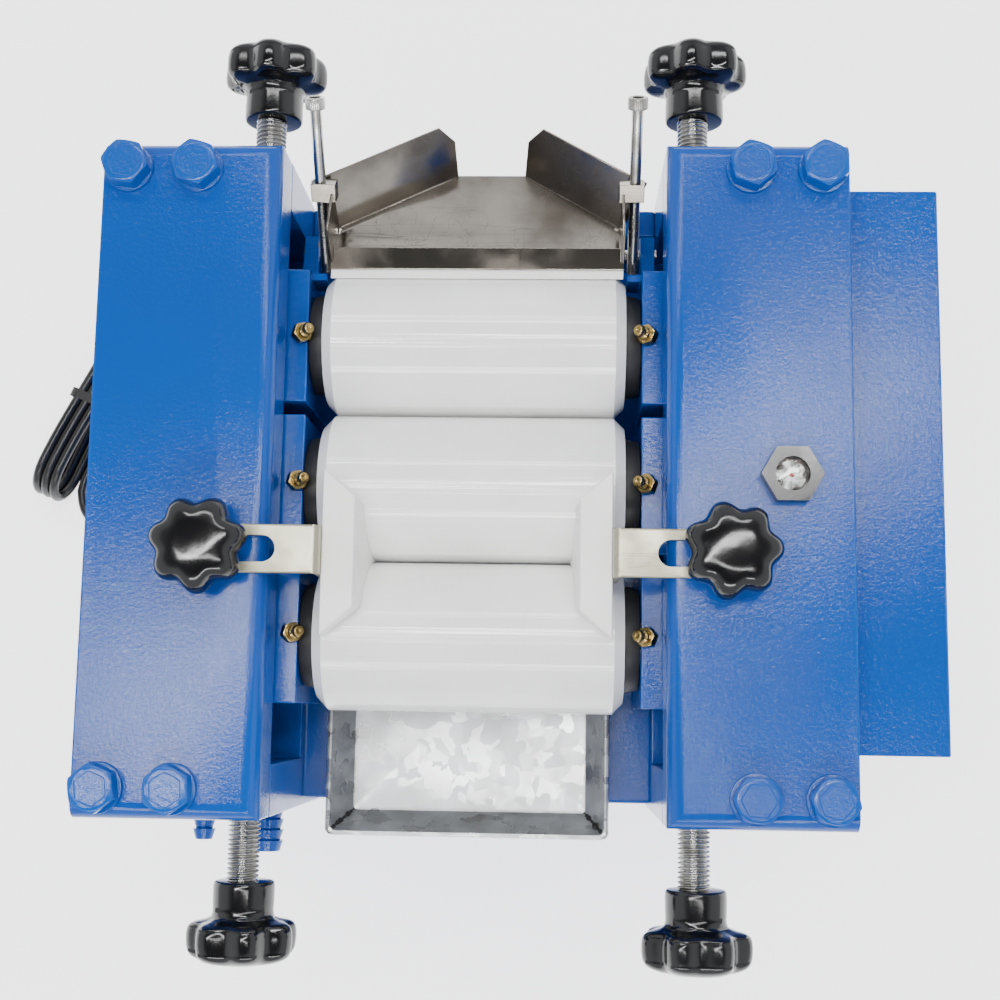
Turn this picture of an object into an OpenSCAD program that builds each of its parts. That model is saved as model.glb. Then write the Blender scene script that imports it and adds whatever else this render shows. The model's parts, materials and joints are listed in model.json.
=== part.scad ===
// Benchtop three-roll mill: two bearing frames on a base box carry three rolls side by side.
// X runs along the rolls, +Y is the apron (rear) side, +Z is up, and Z = 0 is the bench.

/* [Rolls] */
// Diameter of the three rolls
roll_d = 65; // [55:1:80]
// Length of a roll's sleeve
roll_l = 132; // [110:1:165]
// Chamfer on the ends of a sleeve
roll_edge = 4.5; // [2:0.5:6]
// Opening between neighbouring rolls at rest
nip_gap = 0.3; // [0.2:0.1:1]
// Height of the roll axes above the bench
axis_h = 340; // [290:1:410]
// Diameter of the shaft inside the sleeve
shaft_d = 30; // [28:1:36]
// Diameter of the shaft in its bearings
journal_d = 25; // [20:1:26]
// Diameter of the shaft where gears and pulley sit
seat_d = 20; // [16:1:20]

/* [Bearings and blocks] */
// Outer diameter of a ball bearing
bearing_d = 37; // [34:1:38]
// Width of a ball bearing
bearing_w = 15; // [12:1:16]
// Gap between neighbouring bearing blocks
block_gap = 5.7; // [3.2:0.1:8]
// Height of a block above the roll axis
block_top = 21; // [20:1:23]
// Depth of a block below the roll axis
block_bottom = 51.7; // [40:0.1:60]
// How far a block stands in from its frame
block_lip = 9; // [5:1:10]
// How far the outer blocks slide open
carriage_travel = 3; // [1:0.5:4]

/* [Side frames] */
// Clear width between the two side frames
frame_gap = 164; // [150:1:200]
// Width of one side frame
frame_w = 76; // [70:1:92]
// Distance from the large gears' rims to the frames' ends
end_reach = 33.45; // [30:0.05:62]
// Thickness of the wall that carries the blocks
wall_t = 30; // [28:1:36]
// Thickness of the posts at the frame's ends
post_t = 22; // [22:0.5:26]
// Thickness of the cap over the large gears
cap_skin = 7.25; // [6:0.25:14]
// Thickness of the cap
cap_h = 27; // [26:1:32]
// Rounding on the cap's long inner edge and ends
cap_round = 7; // [2:1:8]
// Thickness of the side cover plates
side_cover_t = 4; // [3:1:5]

/* [Cap bolts and sight plug] */
// Thread diameter of a cap bolt
bolt_d = 12; // [8:1:12]
// Width across flats of a bolt head
bolt_af = 18; // [16:1:19]
// Height of a bolt head
bolt_head_h = 8; // [6:1:9]
// Diameter of a bolt washer
washer_d = 21; // [19:1:21]
// Distance of the outer bolts from the frame's outer edge
bolt_edge = 11; // [10.6:0.1:14]
// Cap bolt centres from the ends of the frames
bolt_end = 12.5; // [12:0.5:14]
// Spacing of the two bolts at each end of a frame
bolt_pitch = 30; // [24:1:34]
// Width across flats of the oil sight plug
sight_af = 22; // [18:1:24]

/* [Gears] */
// Teeth of each large gear
teeth_big = 33; // [30:1:33]
// Teeth of each pinion
teeth_small = 19; // [17:1:19]
// Face width of the gears
gear_w = 16; // [10:1:20]
// Play between the teeth
backlash = 0.35; // [0.2:0.05:0.6]

/* [Base] */
// Depth of the base's top below the roll axis
base_drop = 114; // [100:1:125]
// Thickness of the base's bottom plate
plate_t = 10; // [8:1:12]
// Thickness of the base's top deck
deck_t = 12; // [8:1:16]
// Wall thickness of the base box
shell_t = 3; // [2:0.5:5]
// Bench bolt spacing along the rolls
bench_dx = 260; // [200:1:270]
// Bench bolt spacing along the frames
bench_dy = 230; // [180:1:230]
// Tapping diameter of the bench bolt holes
bench_hole_d = 8.5; // [6.8:0.1:10.2]

/* [Drive] */
// Belt pulley diameter
pulley_d = 54; // [44:1:56]
// Height of the motor's shaft above the bench
motor_h = 95; // [80:1:110]
// Reach of the drive guard beyond the frame
guard_w = 40; // [36:1:60]
// Front end of the guard, from the middle roll
guard_front = 112.5; // [100:0.5:120]
// Rear end of the guard, from the middle roll
guard_rear = 126; // [100:1:140]
// Height of the guard's top above the roll axis
guard_top = 36; // [36:1:44]

/* [Hand screws] */
// Thread diameter of a gap adjusting screw
screw_d = 14; // [10:1:16]
// Lobe circle diameter of its star knob
knob_d = 48; // [40:1:56]
// Thickness of the star
knob_t = 19; // [14:1:22]
// Diameter of the knob's hub
hub_d = 26.5; // [22:0.5:30]
// Length of the knob's hub
hub_l = 17; // [12:1:22]
// Distance from the frame's end to the hub
knob_stand = 28.5; // [20:0.5:34]

/* [Hopper] */
// Thickness of a cheek at its outer face, along the rolls
cheek_t = 13.5; // [10:0.5:18]
// Length of a cheek's outer face
cheek_l = 69; // [60:1:72]
// Length of a cheek's inner face
cheek_inner_l = 39; // [30:1:50]
// Height of the cheeks above the roll axis
cheek_top = 48; // [40:1:50]
// Gap between a cheek and the rolls
cheek_gap = 0.35; // [0.3:0.05:0.6]
// Width of the bracket strips
bracket_w = 20; // [16:1:24]
// Thickness of the bracket strips
bracket_t = 3; // [2:0.5:4]
// Width of the slot in the bracket
slot_w = 11; // [9:0.5:12]
// Distance of the clamp knobs from the machine's middle
clamp_x = 106; // [104:0.5:106]
// Diameter of the clamp knobs' stud
clamp_d = 8; // [6:1:8]
// Lobe circle diameter of the clamp knobs
clamp_knob_d = 40; // [32:1:44]
// Height of the clamp knobs
clamp_knob_h = 24; // [18:1:28]

/* [Apron] */
// Width of the apron plate
apron_w = 129; // [110:1:130]
// Sheet thickness of the apron
apron_t = 1.2; // [1:0.1:2]
// Height of the apron's walls
apron_wall_h = 26; // [18:1:30]
// Slope of the apron plate in degrees
apron_slope = 27; // [20:1:30]
// Width of the outlet
outlet_w = 32; // [24:1:50]
// Sideways place of the outlet
outlet_x = 5; // [0:1:8]
// Thickness of the scraper blade
blade_t = 3; // [2:0.5:4]
// Thread diameter of the long stop screws
stop_d = 5; // [4:0.5:6]
// Length of the long stop screws
stop_l = 74; // [60:1:80]

/* [Drip tray] */
// Width of the tray across its rim
tray_w = 130; // [110:1:134]
// Length of the tray along the frames
tray_l = 118; // [90:1:124]
// Depth of the tray
tray_depth = 22; // [12:1:24]
// Sheet thickness of the tray
tray_t = 1.2; // [1:0.1:2]
// How far the tray's walls lean out
tray_flare = 9; // [4:1:12]

/* [Cord] */
// Diameter of the mains cord
cord_d = 6.2; // [5:0.1:8]

/* [Hidden] */
$fn = 64;

blue = "#1474C8";
zinc = "#B9B69B";
black = "#101010";
white = "#E8E7E4";
steel = "#9AA0A6";

// Sizes that follow from the ones above
roll_r = roll_d / 2;
pitch = roll_d + nip_gap;
block_w = pitch - block_gap;
gear_m = 2 * roll_d / (teeth_big + teeth_small);
big_r = gear_m * teeth_big / 2 + gear_m;
inner_x = frame_gap / 2;
outer_x = inner_x + frame_w;
bolt_rows = [outer_x - bolt_edge, outer_x - bolt_edge - bolt_pitch];
end_y = pitch + big_r + end_reach;
frame_l = 2 * end_y;
cap_top = big_r + cap_skin;
post_y = end_y - post_t;
wall_x = inner_x + wall_t;
window_bottom = block_bottom + 0.3;
cap_under = cap_top - cap_h;
base_top = axis_h - base_drop;
fit = 0.02;
run_fit = 0.05;
thread_play = 0.3;
screw_x = inner_x + wall_t / 2;
block_x = inner_x - block_lip;
bearing_x = inner_x + 6;
race_t = 2;
bolt_y = end_y - bolt_end;
bolt_reach = 40;
washer_t = 2;
pocket_top = big_r + 1.5;
gear_x = wall_x + 8;
nip_y = -pitch / 2;
tray_floor = roll_r + tray_depth + 5.5;
rail_t = 3.5;
clamp_reach = 16;
pulley_x = outer_x + 8;
pulley_w = 16;
belt_t = 4;
guard_bottom = 30;
guard_t = 2;
guard_ledge_y = 4;
panel_w = 200;
panel_h = 130;
panel_z = 110;
cover_screw_d = 4;
cover_head_d = 8;
cover_head_h = 2.4;
cover_grip = 8;
rebate = 8;

// Where the apron sits, measured from the roll axis height
apron_mid = 0.5;
plate_y = pitch + roll_r - 1.5;
plate_z = 18.5;
plate_run = 58;
side_run = 24;
rod_y = plate_y + 14;
rod_z = -8;
rod_d = 6;
lug_w = 7;
ear_t = 2;

// Half-round ended slots and rounded outlines
module rod_x(x0, x1, d) {
    translate([x0, 0, 0]) rotate([0, 90, 0]) cylinder(h = x1 - x0, d = d);
}
module rod_y(y0, y1, d) {
    translate([0, y1, 0]) rotate([90, 0, 0]) cylinder(h = y1 - y0, d = d);
}
module rod_z(z0, z1, d) {
    translate([0, 0, z0]) cylinder(h = z1 - z0, d = d);
}
module block(x0, x1, y0, y1, z0, z1) {
    translate([x0, y0, z0]) cube([x1 - x0, y1 - y0, z1 - z0]);
}
module on_axis() {
    translate([0, 0, axis_h]) children();
}
module both_sides() {
    children();
    mirror([1, 0, 0]) children();
}
module flip_x(s) {
    mirror([s < 0 ? 1 : 0, 0, 0]) children();
}
module flip_y(s) {
    mirror([0, s < 0 ? 1 : 0, 0]) children();
}
module hex(af, h) {
    cylinder(h = h, d = af / cos(30), $fn = 6);
}
// A square corner of size r with a quarter circle taken away, for rounding an edge
module corner_cut(r) {
    difference() {
        translate([-1, -1]) square(r + 1);
        translate([r, r]) circle(r = r);
    }
}

// Involute gear outline with a tooth on the +X axis
function involute(a) = tan(a) * 180 / PI - a;
function flank(r, rp, rb, t) = 90 / t - backlash / (2 * rp) * 180 / PI + involute(20)
    - involute(acos(min(1, rb / r)));
module gear_outline(t) {
    rp = gear_m * t / 2;
    rb = rp * cos(20);
    ra = rp + gear_m;
    rf = rp - 1.25 * gear_m;
    r0 = max(rb, rf);
    steps = 4;
    radii = [for (i = [0 : steps]) r0 + (ra - r0) * i / steps];
    up = [for (r = radii) [r, -flank(r, rp, rb, t)]];
    down = [for (i = [steps : -1 : 0]) [radii[i], flank(radii[i], rp, rb, t)]];
    one = concat([[rf, -flank(r0, rp, rb, t) - 0.5]], up, down, [[rf, flank(r0, rp, rb, t) + 0.5]]);
    polygon([for (k = [0 : t - 1]) for (q = one) q[0] * [cos(q[1] + k * 360 / t), sin(q[1] + k * 360 / t)]]);
}
module gear(t, x0, hub_x0, turn) {
    hub_len = gear_w + gear_x - wall_x - 1;
    difference() {
        union() {
            translate([x0, 0, 0]) rotate([90, 0, 90]) rotate(turn) linear_extrude(gear_w) gear_outline(t);
            rod_x(hub_x0, hub_x0 + hub_len, seat_d + 12);
        }
        rod_x(x0 - 20, x0 + 40, seat_d + 2 * fit);
    }
}

module base_plate() {
    color(steel) difference() {
        block(-outer_x, outer_x, -end_y, end_y, 0, plate_t);
        for (x = [-1, 1], y = [-1, 1]) {
            translate([x * bench_dx / 2, y * bench_dy / 2, 0]) rod_z(-1, plate_t + 1, bench_hole_d);
        }
    }
}

module base_shell() {
    color(blue) difference() {
        union() {
            difference() {
                block(-outer_x, outer_x, -end_y, end_y, plate_t, base_top);
                block(-outer_x + shell_t, outer_x - shell_t, -end_y + shell_t, end_y - shell_t,
                    plate_t - 1, base_top - deck_t);
            }
            // Two ledges that the guard's screws bite into
            for (s = [[-guard_front + guard_t, 1], [guard_rear - guard_t - guard_ledge_y, 1]]) {
                block(outer_x, outer_x + 10, s[0], s[0] + guard_ledge_y, 60, base_top - 40);
            }
        }
        block(-panel_w / 2 + 10, panel_w / 2 - 10, end_y - shell_t - 1, end_y + 1,
            panel_z - panel_h / 2 + 10, panel_z + panel_h / 2 - 10);
        translate([0, 0, motor_h]) rod_x(outer_x - shell_t - 1, outer_x + 1, 30);
        translate([0, gland_at[1], gland_at[2]]) rod_x(-outer_x - 1, -outer_x + shell_t + 1, gland_thread);
        block(rocker_x - rocker_w / 2 - 0.5, rocker_x + rocker_w / 2 + 0.5, -end_y - 1, -end_y + shell_t + 1,
            rocker_z - rocker_h / 2 - 0.5, rocker_z + rocker_h / 2 + 0.5);
        cover_screw_places() rod_z(-cover_grip, 1, cover_screw_d + 0.1);
    }
}

module access_panel() {
    color(blue) difference() {
        block(-panel_w / 2, panel_w / 2, end_y, end_y + 2, panel_z - panel_h / 2, panel_z + panel_h / 2);
        for (z = [-36 : 12 : 36]) {
            block(-55, 55, end_y - 1, end_y + 3, panel_z + z - 2, panel_z + z + 2);
        }
        cover_screw_places() rod_z(-cover_grip, 1, cover_screw_d + 0.1);
    }
}

// Places of the cover screws, their heads outwards along the local +Z
module panel_screw_places() {
    for (x = [-1, 1], z = [-1, 1]) {
        translate([x * (panel_w / 2 - 5), end_y + 2, panel_z + z * (panel_h / 2 - 5)]) rotate([-90, 0, 0])
            children();
    }
}
module side_screw_places() {
    for (s = [-1, 1], y = [-1, 1], z = [-40, -95]) {
        translate([s * outer_x, y * (post_y + rebate / 2), axis_h + z]) rotate([0, s * 90, 0]) children();
    }
}
module guard_screw_places() {
    for (z = [75, base_top - 55]) {
        translate([outer_x + 5, -guard_front, z]) rotate([90, 0, 0]) children();
        translate([outer_x + 5, guard_rear, z]) rotate([-90, 0, 0]) children();
    }
}
module cover_screw_places() {
    panel_screw_places() children();
    side_screw_places() children();
    guard_screw_places() children();
}
module cover_screws() {
    color(zinc) cover_screw_places() {
        difference() {
            rod_z(0, cover_head_h, cover_head_d);
            block(-0.5, 0.5, -3, 3, cover_head_h - 1, cover_head_h + 1);
            block(-3, 3, -0.5, 0.5, cover_head_h - 1, cover_head_h + 1);
        }
        rod_z(-cover_grip + 2.5, 0, cover_screw_d);
    }
}

// Right-hand frame; the left one mirrors it
module frame_body() {
    on_axis() difference() {
        union() {
            block(inner_x, outer_x, -end_y, end_y, -base_drop, cap_under);
            // Ledge that the drip tray slides on
            block(tray_w / 2 - 16, inner_x, -end_y + 4, -20, -tray_floor - rail_t, -tray_floor - 0.2);
        }
        // Window for the bearing blocks, open at the top
        block(inner_x - 1, wall_x + 1, -post_y, post_y, -window_bottom, cap_under + 1);
        // Gear chamber
        block(wall_x, outer_x + 1, -post_y, post_y, -base_drop + deck_t, cap_under + 1);
        // Rebate for the side cover
        block(outer_x - side_cover_t, outer_x + 1, -post_y - rebate, post_y + rebate, -base_drop + rebate,
            cap_under + 1);
        for (s = [-1, 1]) {
            translate([screw_x, 0, 0]) rod_y(s > 0 ? post_y - 1 : -end_y - 1, s > 0 ? end_y + 1 : -post_y + 1,
                screw_d + 2 * thread_play);
            for (x = bolt_rows) {
                translate([x, s * bolt_y, cap_under]) rod_z(-bolt_reach - 4, 1, bolt_d + 2 * fit);
            }
        }
    }
}
module left_frame() {
    color(blue) difference() {
        mirror([1, 0, 0]) frame_body();
        cover_screw_places() rod_z(-cover_grip, 1, cover_screw_d + 0.1);
        translate([-barb_small_x, 0, barb_z]) rod_y(-end_y - 1, -post_y + 1, barb_small_d);
        translate([-barb_large_x, 0, barb_z]) rod_y(-end_y - 1, -post_y + 1, barb_large_d);
    }
}
module right_frame() {
    color(blue) difference() {
        frame_body();
        cover_screw_places() rod_z(-cover_grip, 1, cover_screw_d + 0.1);
    }
}
module side_covers() {
    color(blue) difference() {
        both_sides() on_axis() block(outer_x - side_cover_t, outer_x, -post_y - rebate, post_y + rebate,
            -base_drop + rebate, cap_under);
        on_axis() rod_x(outer_x - side_cover_t - 1, outer_x + 1, journal_d + 8);
        cover_screw_places() rod_z(-cover_grip, 1, cover_screw_d + 0.1);
    }
}

// Right-hand cap; the left one mirrors it
module cap_body() {
    on_axis() difference() {
        block(inner_x, outer_x, -end_y, end_y, cap_under, cap_top);
        // Pocket over the gears
        block(wall_x + 1, outer_x - side_cover_t - 2, -post_y, post_y, cap_under - 1, pocket_top);
        translate([inner_x, -end_y - 1, cap_top]) rotate([-90, 0, 0]) linear_extrude(frame_l + 2)
            corner_cut(cap_round);
        for (s = [-1, 1]) {
            flip_y(s) translate([inner_x - 1, end_y, cap_top]) rotate([90, 0, 90]) linear_extrude(frame_w + 2)
                rotate(180) corner_cut(cap_round);
            for (x = bolt_rows) {
                translate([x, s * bolt_y, 0]) rod_z(cap_under - 1, cap_top + 1, bolt_d + 0.4);
            }
        }
        translate([clamp_x, nip_y, 0]) rod_z(cap_top - clamp_reach - 2, cap_top + 1, clamp_d + 2 * run_fit);
    }
}
module left_cap() {
    color(blue) mirror([1, 0, 0]) cap_body();
}
module right_cap() {
    color(blue) difference() {
        cap_body();
        on_axis() translate([sight_x, 0, 0]) rod_z(cap_under, cap_top + 1, sight_thread + 2 * fit);
    }
}
module cap_bolts() {
    color(blue) both_sides() on_axis() for (x = bolt_rows, y = [-1, 1]) {
        translate([x, y * bolt_y, cap_top]) {
            difference() {
                rod_z(0, washer_t, washer_d);
                rod_z(-1, washer_t + 1, bolt_d + 0.4);
            }
            translate([0, 0, washer_t]) intersection() {
                rotate(15) hex(bolt_af, bolt_head_h);
                cylinder(h = bolt_head_h + 3, d1 = bolt_af + 16, d2 = bolt_af - 6);
            }
            rod_z(-cap_h - bolt_reach, washer_t, bolt_d);
        }
    }
}

module rear_tie_beam() {
    color(blue) on_axis() block(-inner_x, inner_x, end_y - 14, end_y - 1, -95, -35);
}

// The block's own frame has the roll axis at the origin
module block_body() {
    difference() {
        union() {
            block(block_x, inner_x, -block_w / 2, block_w / 2, -block_bottom - 5, block_top);
            block(inner_x - 0.3, wall_x, -block_w / 2, block_w / 2, -block_bottom, block_top);
        }
        // Relief behind the lip, clear of the wall under the window
        block(inner_x - 0.3, inner_x + 1, -block_w, block_w, -block_bottom - 6, -block_bottom);
        rod_x(block_x - 1, wall_x + 1, bearing_d - 2 * race_t);
        rod_x(bearing_x, wall_x + 1, bearing_d + 2 * fit);
    }
}
module bearing_body() {
    translate([bearing_x, 0, 0]) difference() {
        rod_x(0, bearing_w, bearing_d);
        rod_x(-1, bearing_w + 1, journal_d + 2 * fit);
        // Shallow grooves between the races on both faces
        for (x = [[-1, 1], [bearing_w - 1, bearing_w + 1]]) {
            difference() {
                rod_x(x[0], x[1], bearing_d - 2 * race_t);
                rod_x(x[0] - 1, x[1] + 1, journal_d + 2 * race_t);
            }
        }
    }
}
module block_pair(y) {
    color(blue) on_axis() translate([0, y, 0]) both_sides() block_body();
}
module bearing_pair(y) {
    color(steel) on_axis() translate([0, y, 0]) both_sides() bearing_body();
}
module front_blocks() {
    block_pair(-pitch);
}
module middle_blocks() {
    block_pair(0);
}
// The rear blocks carry lugs for the apron's rod
module rear_blocks() {
    block_pair(pitch);
    color(blue) both_sides() on_axis() difference() {
        block(block_x, block_x + lug_w, pitch + block_w / 2, rod_y + 7, rod_z - 7, rod_z + 7);
        translate([0, rod_y, rod_z]) rod_x(block_x - 1, block_x + lug_w + 1, rod_d + 2 * run_fit);
    }
    // Pads that the stop screws bear on
    color(blue) both_sides() on_axis() block(roll_l / 2 + 0.8, block_x, pitch + block_w / 2 - 3,
        pitch + block_w / 2, -4, 14);
}
module front_bearings() {
    bearing_pair(-pitch);
}
module middle_bearings() {
    bearing_pair(0);
}
module rear_bearings() {
    bearing_pair(pitch);
}

module sleeve(y) {
    color(white) on_axis() translate([0, y, 0]) rotate([0, 90, 0]) rotate_extrude($fn = 128)
        polygon([[shaft_d / 2 + fit, -roll_l / 2], [roll_r - roll_edge, -roll_l / 2],
            [roll_r, -roll_l / 2 + roll_edge], [roll_r, roll_l / 2 - roll_edge],
            [roll_r - roll_edge, roll_l / 2], [shaft_d / 2 + fit, roll_l / 2]]);
}
module front_roll_sleeve() {
    sleeve(-pitch);
}
module middle_roll_sleeve() {
    sleeve(0);
}
module rear_roll_sleeve() {
    sleeve(pitch);
}

// Shaft from the left end x0 to the right end x1, thinner where gears and the pulley sit
module shaft(y, x0, x1) {
    seat = bearing_x + bearing_w + 3;
    color(steel) on_axis() translate([0, y, 0]) {
        rod_x(-roll_l / 2, roll_l / 2, shaft_d);
        rod_x(-seat, seat, journal_d);
        rod_x(x0, x1, seat_d);
    }
}
module front_shaft() {
    shaft(-pitch, -gear_x - gear_w - 12, bearing_x + bearing_w + 6);
}
module middle_shaft() {
    shaft(0, -gear_x - gear_w - 12, pulley_x + pulley_w + 6);
}
module rear_shaft() {
    shaft(pitch, -bearing_x - bearing_w - 6, gear_x + gear_w + 12);
}

module front_gear() {
    color(steel) on_axis() translate([0, -pitch, 0]) gear(teeth_big, -gear_x - gear_w, -gear_x - gear_w, 0);
}
module middle_pinion() {
    color(steel) on_axis() gear(teeth_small, -gear_x - gear_w, -gear_x - gear_w, 180 + 180 / teeth_small);
}
module middle_gear() {
    color(steel) on_axis() gear(teeth_big, gear_x, wall_x + 1, 0);
}
module rear_pinion() {
    color(steel) on_axis() translate([0, pitch, 0])
        gear(teeth_small, gear_x, wall_x + 1, 180 + 180 / teeth_small);
}

module pulley(z) {
    translate([0, 0, z]) rotate([0, 90, 0]) rotate_extrude()
        polygon([[seat_d / 2 + fit, pulley_x], [pulley_d / 2 + belt_t, pulley_x],
            [pulley_d / 2 + belt_t, pulley_x + 2], [pulley_d / 2, pulley_x + 3],
            [pulley_d / 2, pulley_x + pulley_w - 3], [pulley_d / 2 + belt_t, pulley_x + pulley_w - 2],
            [pulley_d / 2 + belt_t, pulley_x + pulley_w], [seat_d / 2 + fit, pulley_x + pulley_w]]);
}
module driven_pulley() {
    color(steel) pulley(axis_h);
}
module motor_pulley() {
    color(steel) {
        pulley(motor_h);
        translate([0, 0, motor_h]) rod_x(motor_face - 18, pulley_x + pulley_w + 4, seat_d + 1);
    }
}
module belt_outline(r) {
    circle(r = r);
    translate([0, motor_h - axis_h]) circle(r = r);
    translate([-r, motor_h - axis_h]) square([2 * r, axis_h - motor_h]);
}
module drive_belt() {
    color(black) on_axis() translate([pulley_x + 3.5, 0, 0]) rotate([90, 0, 90])
        linear_extrude(pulley_w - 7) difference() {
            belt_outline(pulley_d / 2 + belt_t - 0.5);
            belt_outline(pulley_d / 2 + 0.4);
        }
}
// Gear motor lying along X: motor, gearbox and feet
motor_face = outer_x - 30;
gearbox_l = 60;
motor_body_l = 130;
motor_body_d = 104;
module gear_motor() {
    color("dimgray") difference() {
        union() {
            translate([0, 0, motor_h]) {
                block(motor_face - gearbox_l, motor_face, -52, 52, -52, 52);
                rod_x(motor_face - gearbox_l - motor_body_l, motor_face - gearbox_l, motor_body_d);
                block(motor_face - gearbox_l - 90, motor_face - gearbox_l - 30, -30, 30, 40, 70);
            }
            block(motor_face - gearbox_l, motor_face - 5, -65, 65, plate_t, plate_t + 12);
            block(motor_face - gearbox_l, motor_face - 5, -45, 45, plate_t, motor_h);
        }
        translate([0, 0, motor_h]) rod_x(motor_face - 20, motor_face + 1, seat_d + 1 + 2 * run_fit);
    }
}

module drive_guard() {
    color(blue) difference() {
        block(outer_x, outer_x + guard_w, -guard_front, guard_rear, guard_bottom, axis_h + guard_top);
        block(outer_x - 1, outer_x + guard_w - guard_t, -guard_front + guard_t, guard_rear - guard_t,
            guard_bottom + guard_t, axis_h + guard_top - guard_t);
        guard_screw_places() rod_z(-cover_grip, 1, cover_screw_d + 0.1);
        // Notches in its edge over the side cover's screw heads
        side_screw_places() rod_z(-1, cover_head_h + fit, cover_head_d + 1);
    }
}

// Hand screw with its foot near the block, and its star knob; s is 1 at the rear and -1 in front
module spindle(x, s) {
    color(zinc) on_axis() translate([x, 0, 0]) flip_y(s)
        rod_y(pitch + block_w / 2, end_y + knob_stand + hub_l, screw_d);
}
module star_outline(d, lobes) {
    lobe_r = d * 0.14;
    difference() {
        circle(d = d - lobe_r);
        for (k = [0 : lobes - 1]) {
            rotate((k + 0.5) * 360 / lobes) translate([d * 0.535, 0]) circle(r = d * 0.125);
        }
    }
    for (k = [0 : lobes - 1]) {
        rotate(k * 360 / lobes) translate([d / 2 - lobe_r, 0]) circle(r = lobe_r);
    }
}
module hand_knob(x, s) {
    color(black) on_axis() translate([x, s * (end_y + knob_stand), 0]) rotate([-s * 90, 0, 0]) difference() {
        union() {
            rod_z(0, hub_l + 1, hub_d);
            translate([0, 0, hub_l]) linear_extrude(knob_t) star_outline(knob_d, 7);
        }
        rod_z(-1, hub_l, screw_d + 2 * fit);
    }
}
module left_front_screw() {
    spindle(-screw_x, -1);
}
module left_rear_screw() {
    spindle(-screw_x, 1);
}
module right_front_screw() {
    spindle(screw_x, -1);
}
module right_rear_screw() {
    spindle(screw_x, 1);
}
module left_front_knob() {
    hand_knob(-screw_x, -1);
}
module left_rear_knob() {
    hand_knob(-screw_x, 1);
}
module right_front_knob() {
    hand_knob(screw_x, -1);
}
module right_rear_knob() {
    hand_knob(screw_x, 1);
}

// Right-hand hopper bracket: a slotted strip on the cap with a tab bent down behind the cheek
cheek_x = roll_l / 2 - 6;
bracket_end = clamp_x + 17;
slot_in = clamp_x - 28;
slot_out = clamp_x + 13;
tab_drop = 26;
module bracket() {
    on_axis() translate([0, nip_y, 0]) difference() {
        union() {
            block(cheek_x, bracket_end, -bracket_w / 2, bracket_w / 2, cap_top, cap_top + bracket_t);
            block(cheek_x, cheek_x + bracket_t, -bracket_w / 2, bracket_w / 2, cap_top - tab_drop,
                cap_top + bracket_t);
        }
        translate([cheek_x, -bracket_w, cap_top + bracket_t]) rotate([-90, 0, 0])
            linear_extrude(2 * bracket_w) corner_cut(bracket_t);
        block(slot_in + slot_w / 2, slot_out - slot_w / 2, -slot_w / 2, slot_w / 2, cap_top - 1,
            cap_top + bracket_t + 1);
        for (x = [slot_in + slot_w / 2, slot_out - slot_w / 2]) {
            translate([x, 0, 0]) rod_z(cap_top - 1, cap_top + bracket_t + 1, slot_w);
        }
        for (y = [-1, 1]) {
            translate([bracket_end, y * bracket_w / 2, 0]) rotate(y < 0 ? 90 : 180)
                translate([0, 0, cap_top - 1]) linear_extrude(bracket_t + 2) corner_cut(4);
        }
    }
}
module left_bracket() {
    color(zinc) mirror([1, 0, 0]) bracket();
}
module right_bracket() {
    color(zinc) bracket();
}
// Right-hand cheek: a trapezoid block cut to the two rolls below it, its inner face leaning in
module cheek() {
    lean = 4;
    on_axis() difference() {
        translate([0, nip_y, 0]) linear_extrude(cheek_top)
            polygon([[cheek_x, -cheek_l / 2], [cheek_x, cheek_l / 2],
                [cheek_x - cheek_t - lean, cheek_inner_l / 2],
                [cheek_x - cheek_t - lean, -cheek_inner_l / 2]]);
        for (y = [0, -pitch]) {
            translate([0, y, 0]) rod_x(0, roll_l, roll_d + 2 * cheek_gap, $fn = 128);
        }
        // The inner face leans away from the feed towards its top
        translate([cheek_x - cheek_t, nip_y, cheek_top]) rotate([0, atan(lean / cheek_top), 0])
            block(-30, 0, -cheek_l, cheek_l, -2 * cheek_top, 20);
    }
}
module left_cheek() {
    color(white) mirror([1, 0, 0]) cheek();
}
module right_cheek() {
    color(white) cheek();
}
module clamp_knob() {
    head_h = clamp_knob_h - 7;
    on_axis() translate([clamp_x, nip_y, cap_top + bracket_t + 0.2]) {
        rod_z(0, clamp_knob_h - head_h + 1, clamp_knob_d * 0.55);
        translate([0, 0, clamp_knob_h - head_h]) linear_extrude(head_h) star_outline(clamp_knob_d, 7);
        rod_z(-bracket_t - clamp_reach, 1, clamp_d);
    }
}
module left_clamp_knob() {
    color(black) mirror([1, 0, 0]) clamp_knob();
}
module right_clamp_knob() {
    color(black) clamp_knob();
}

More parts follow.
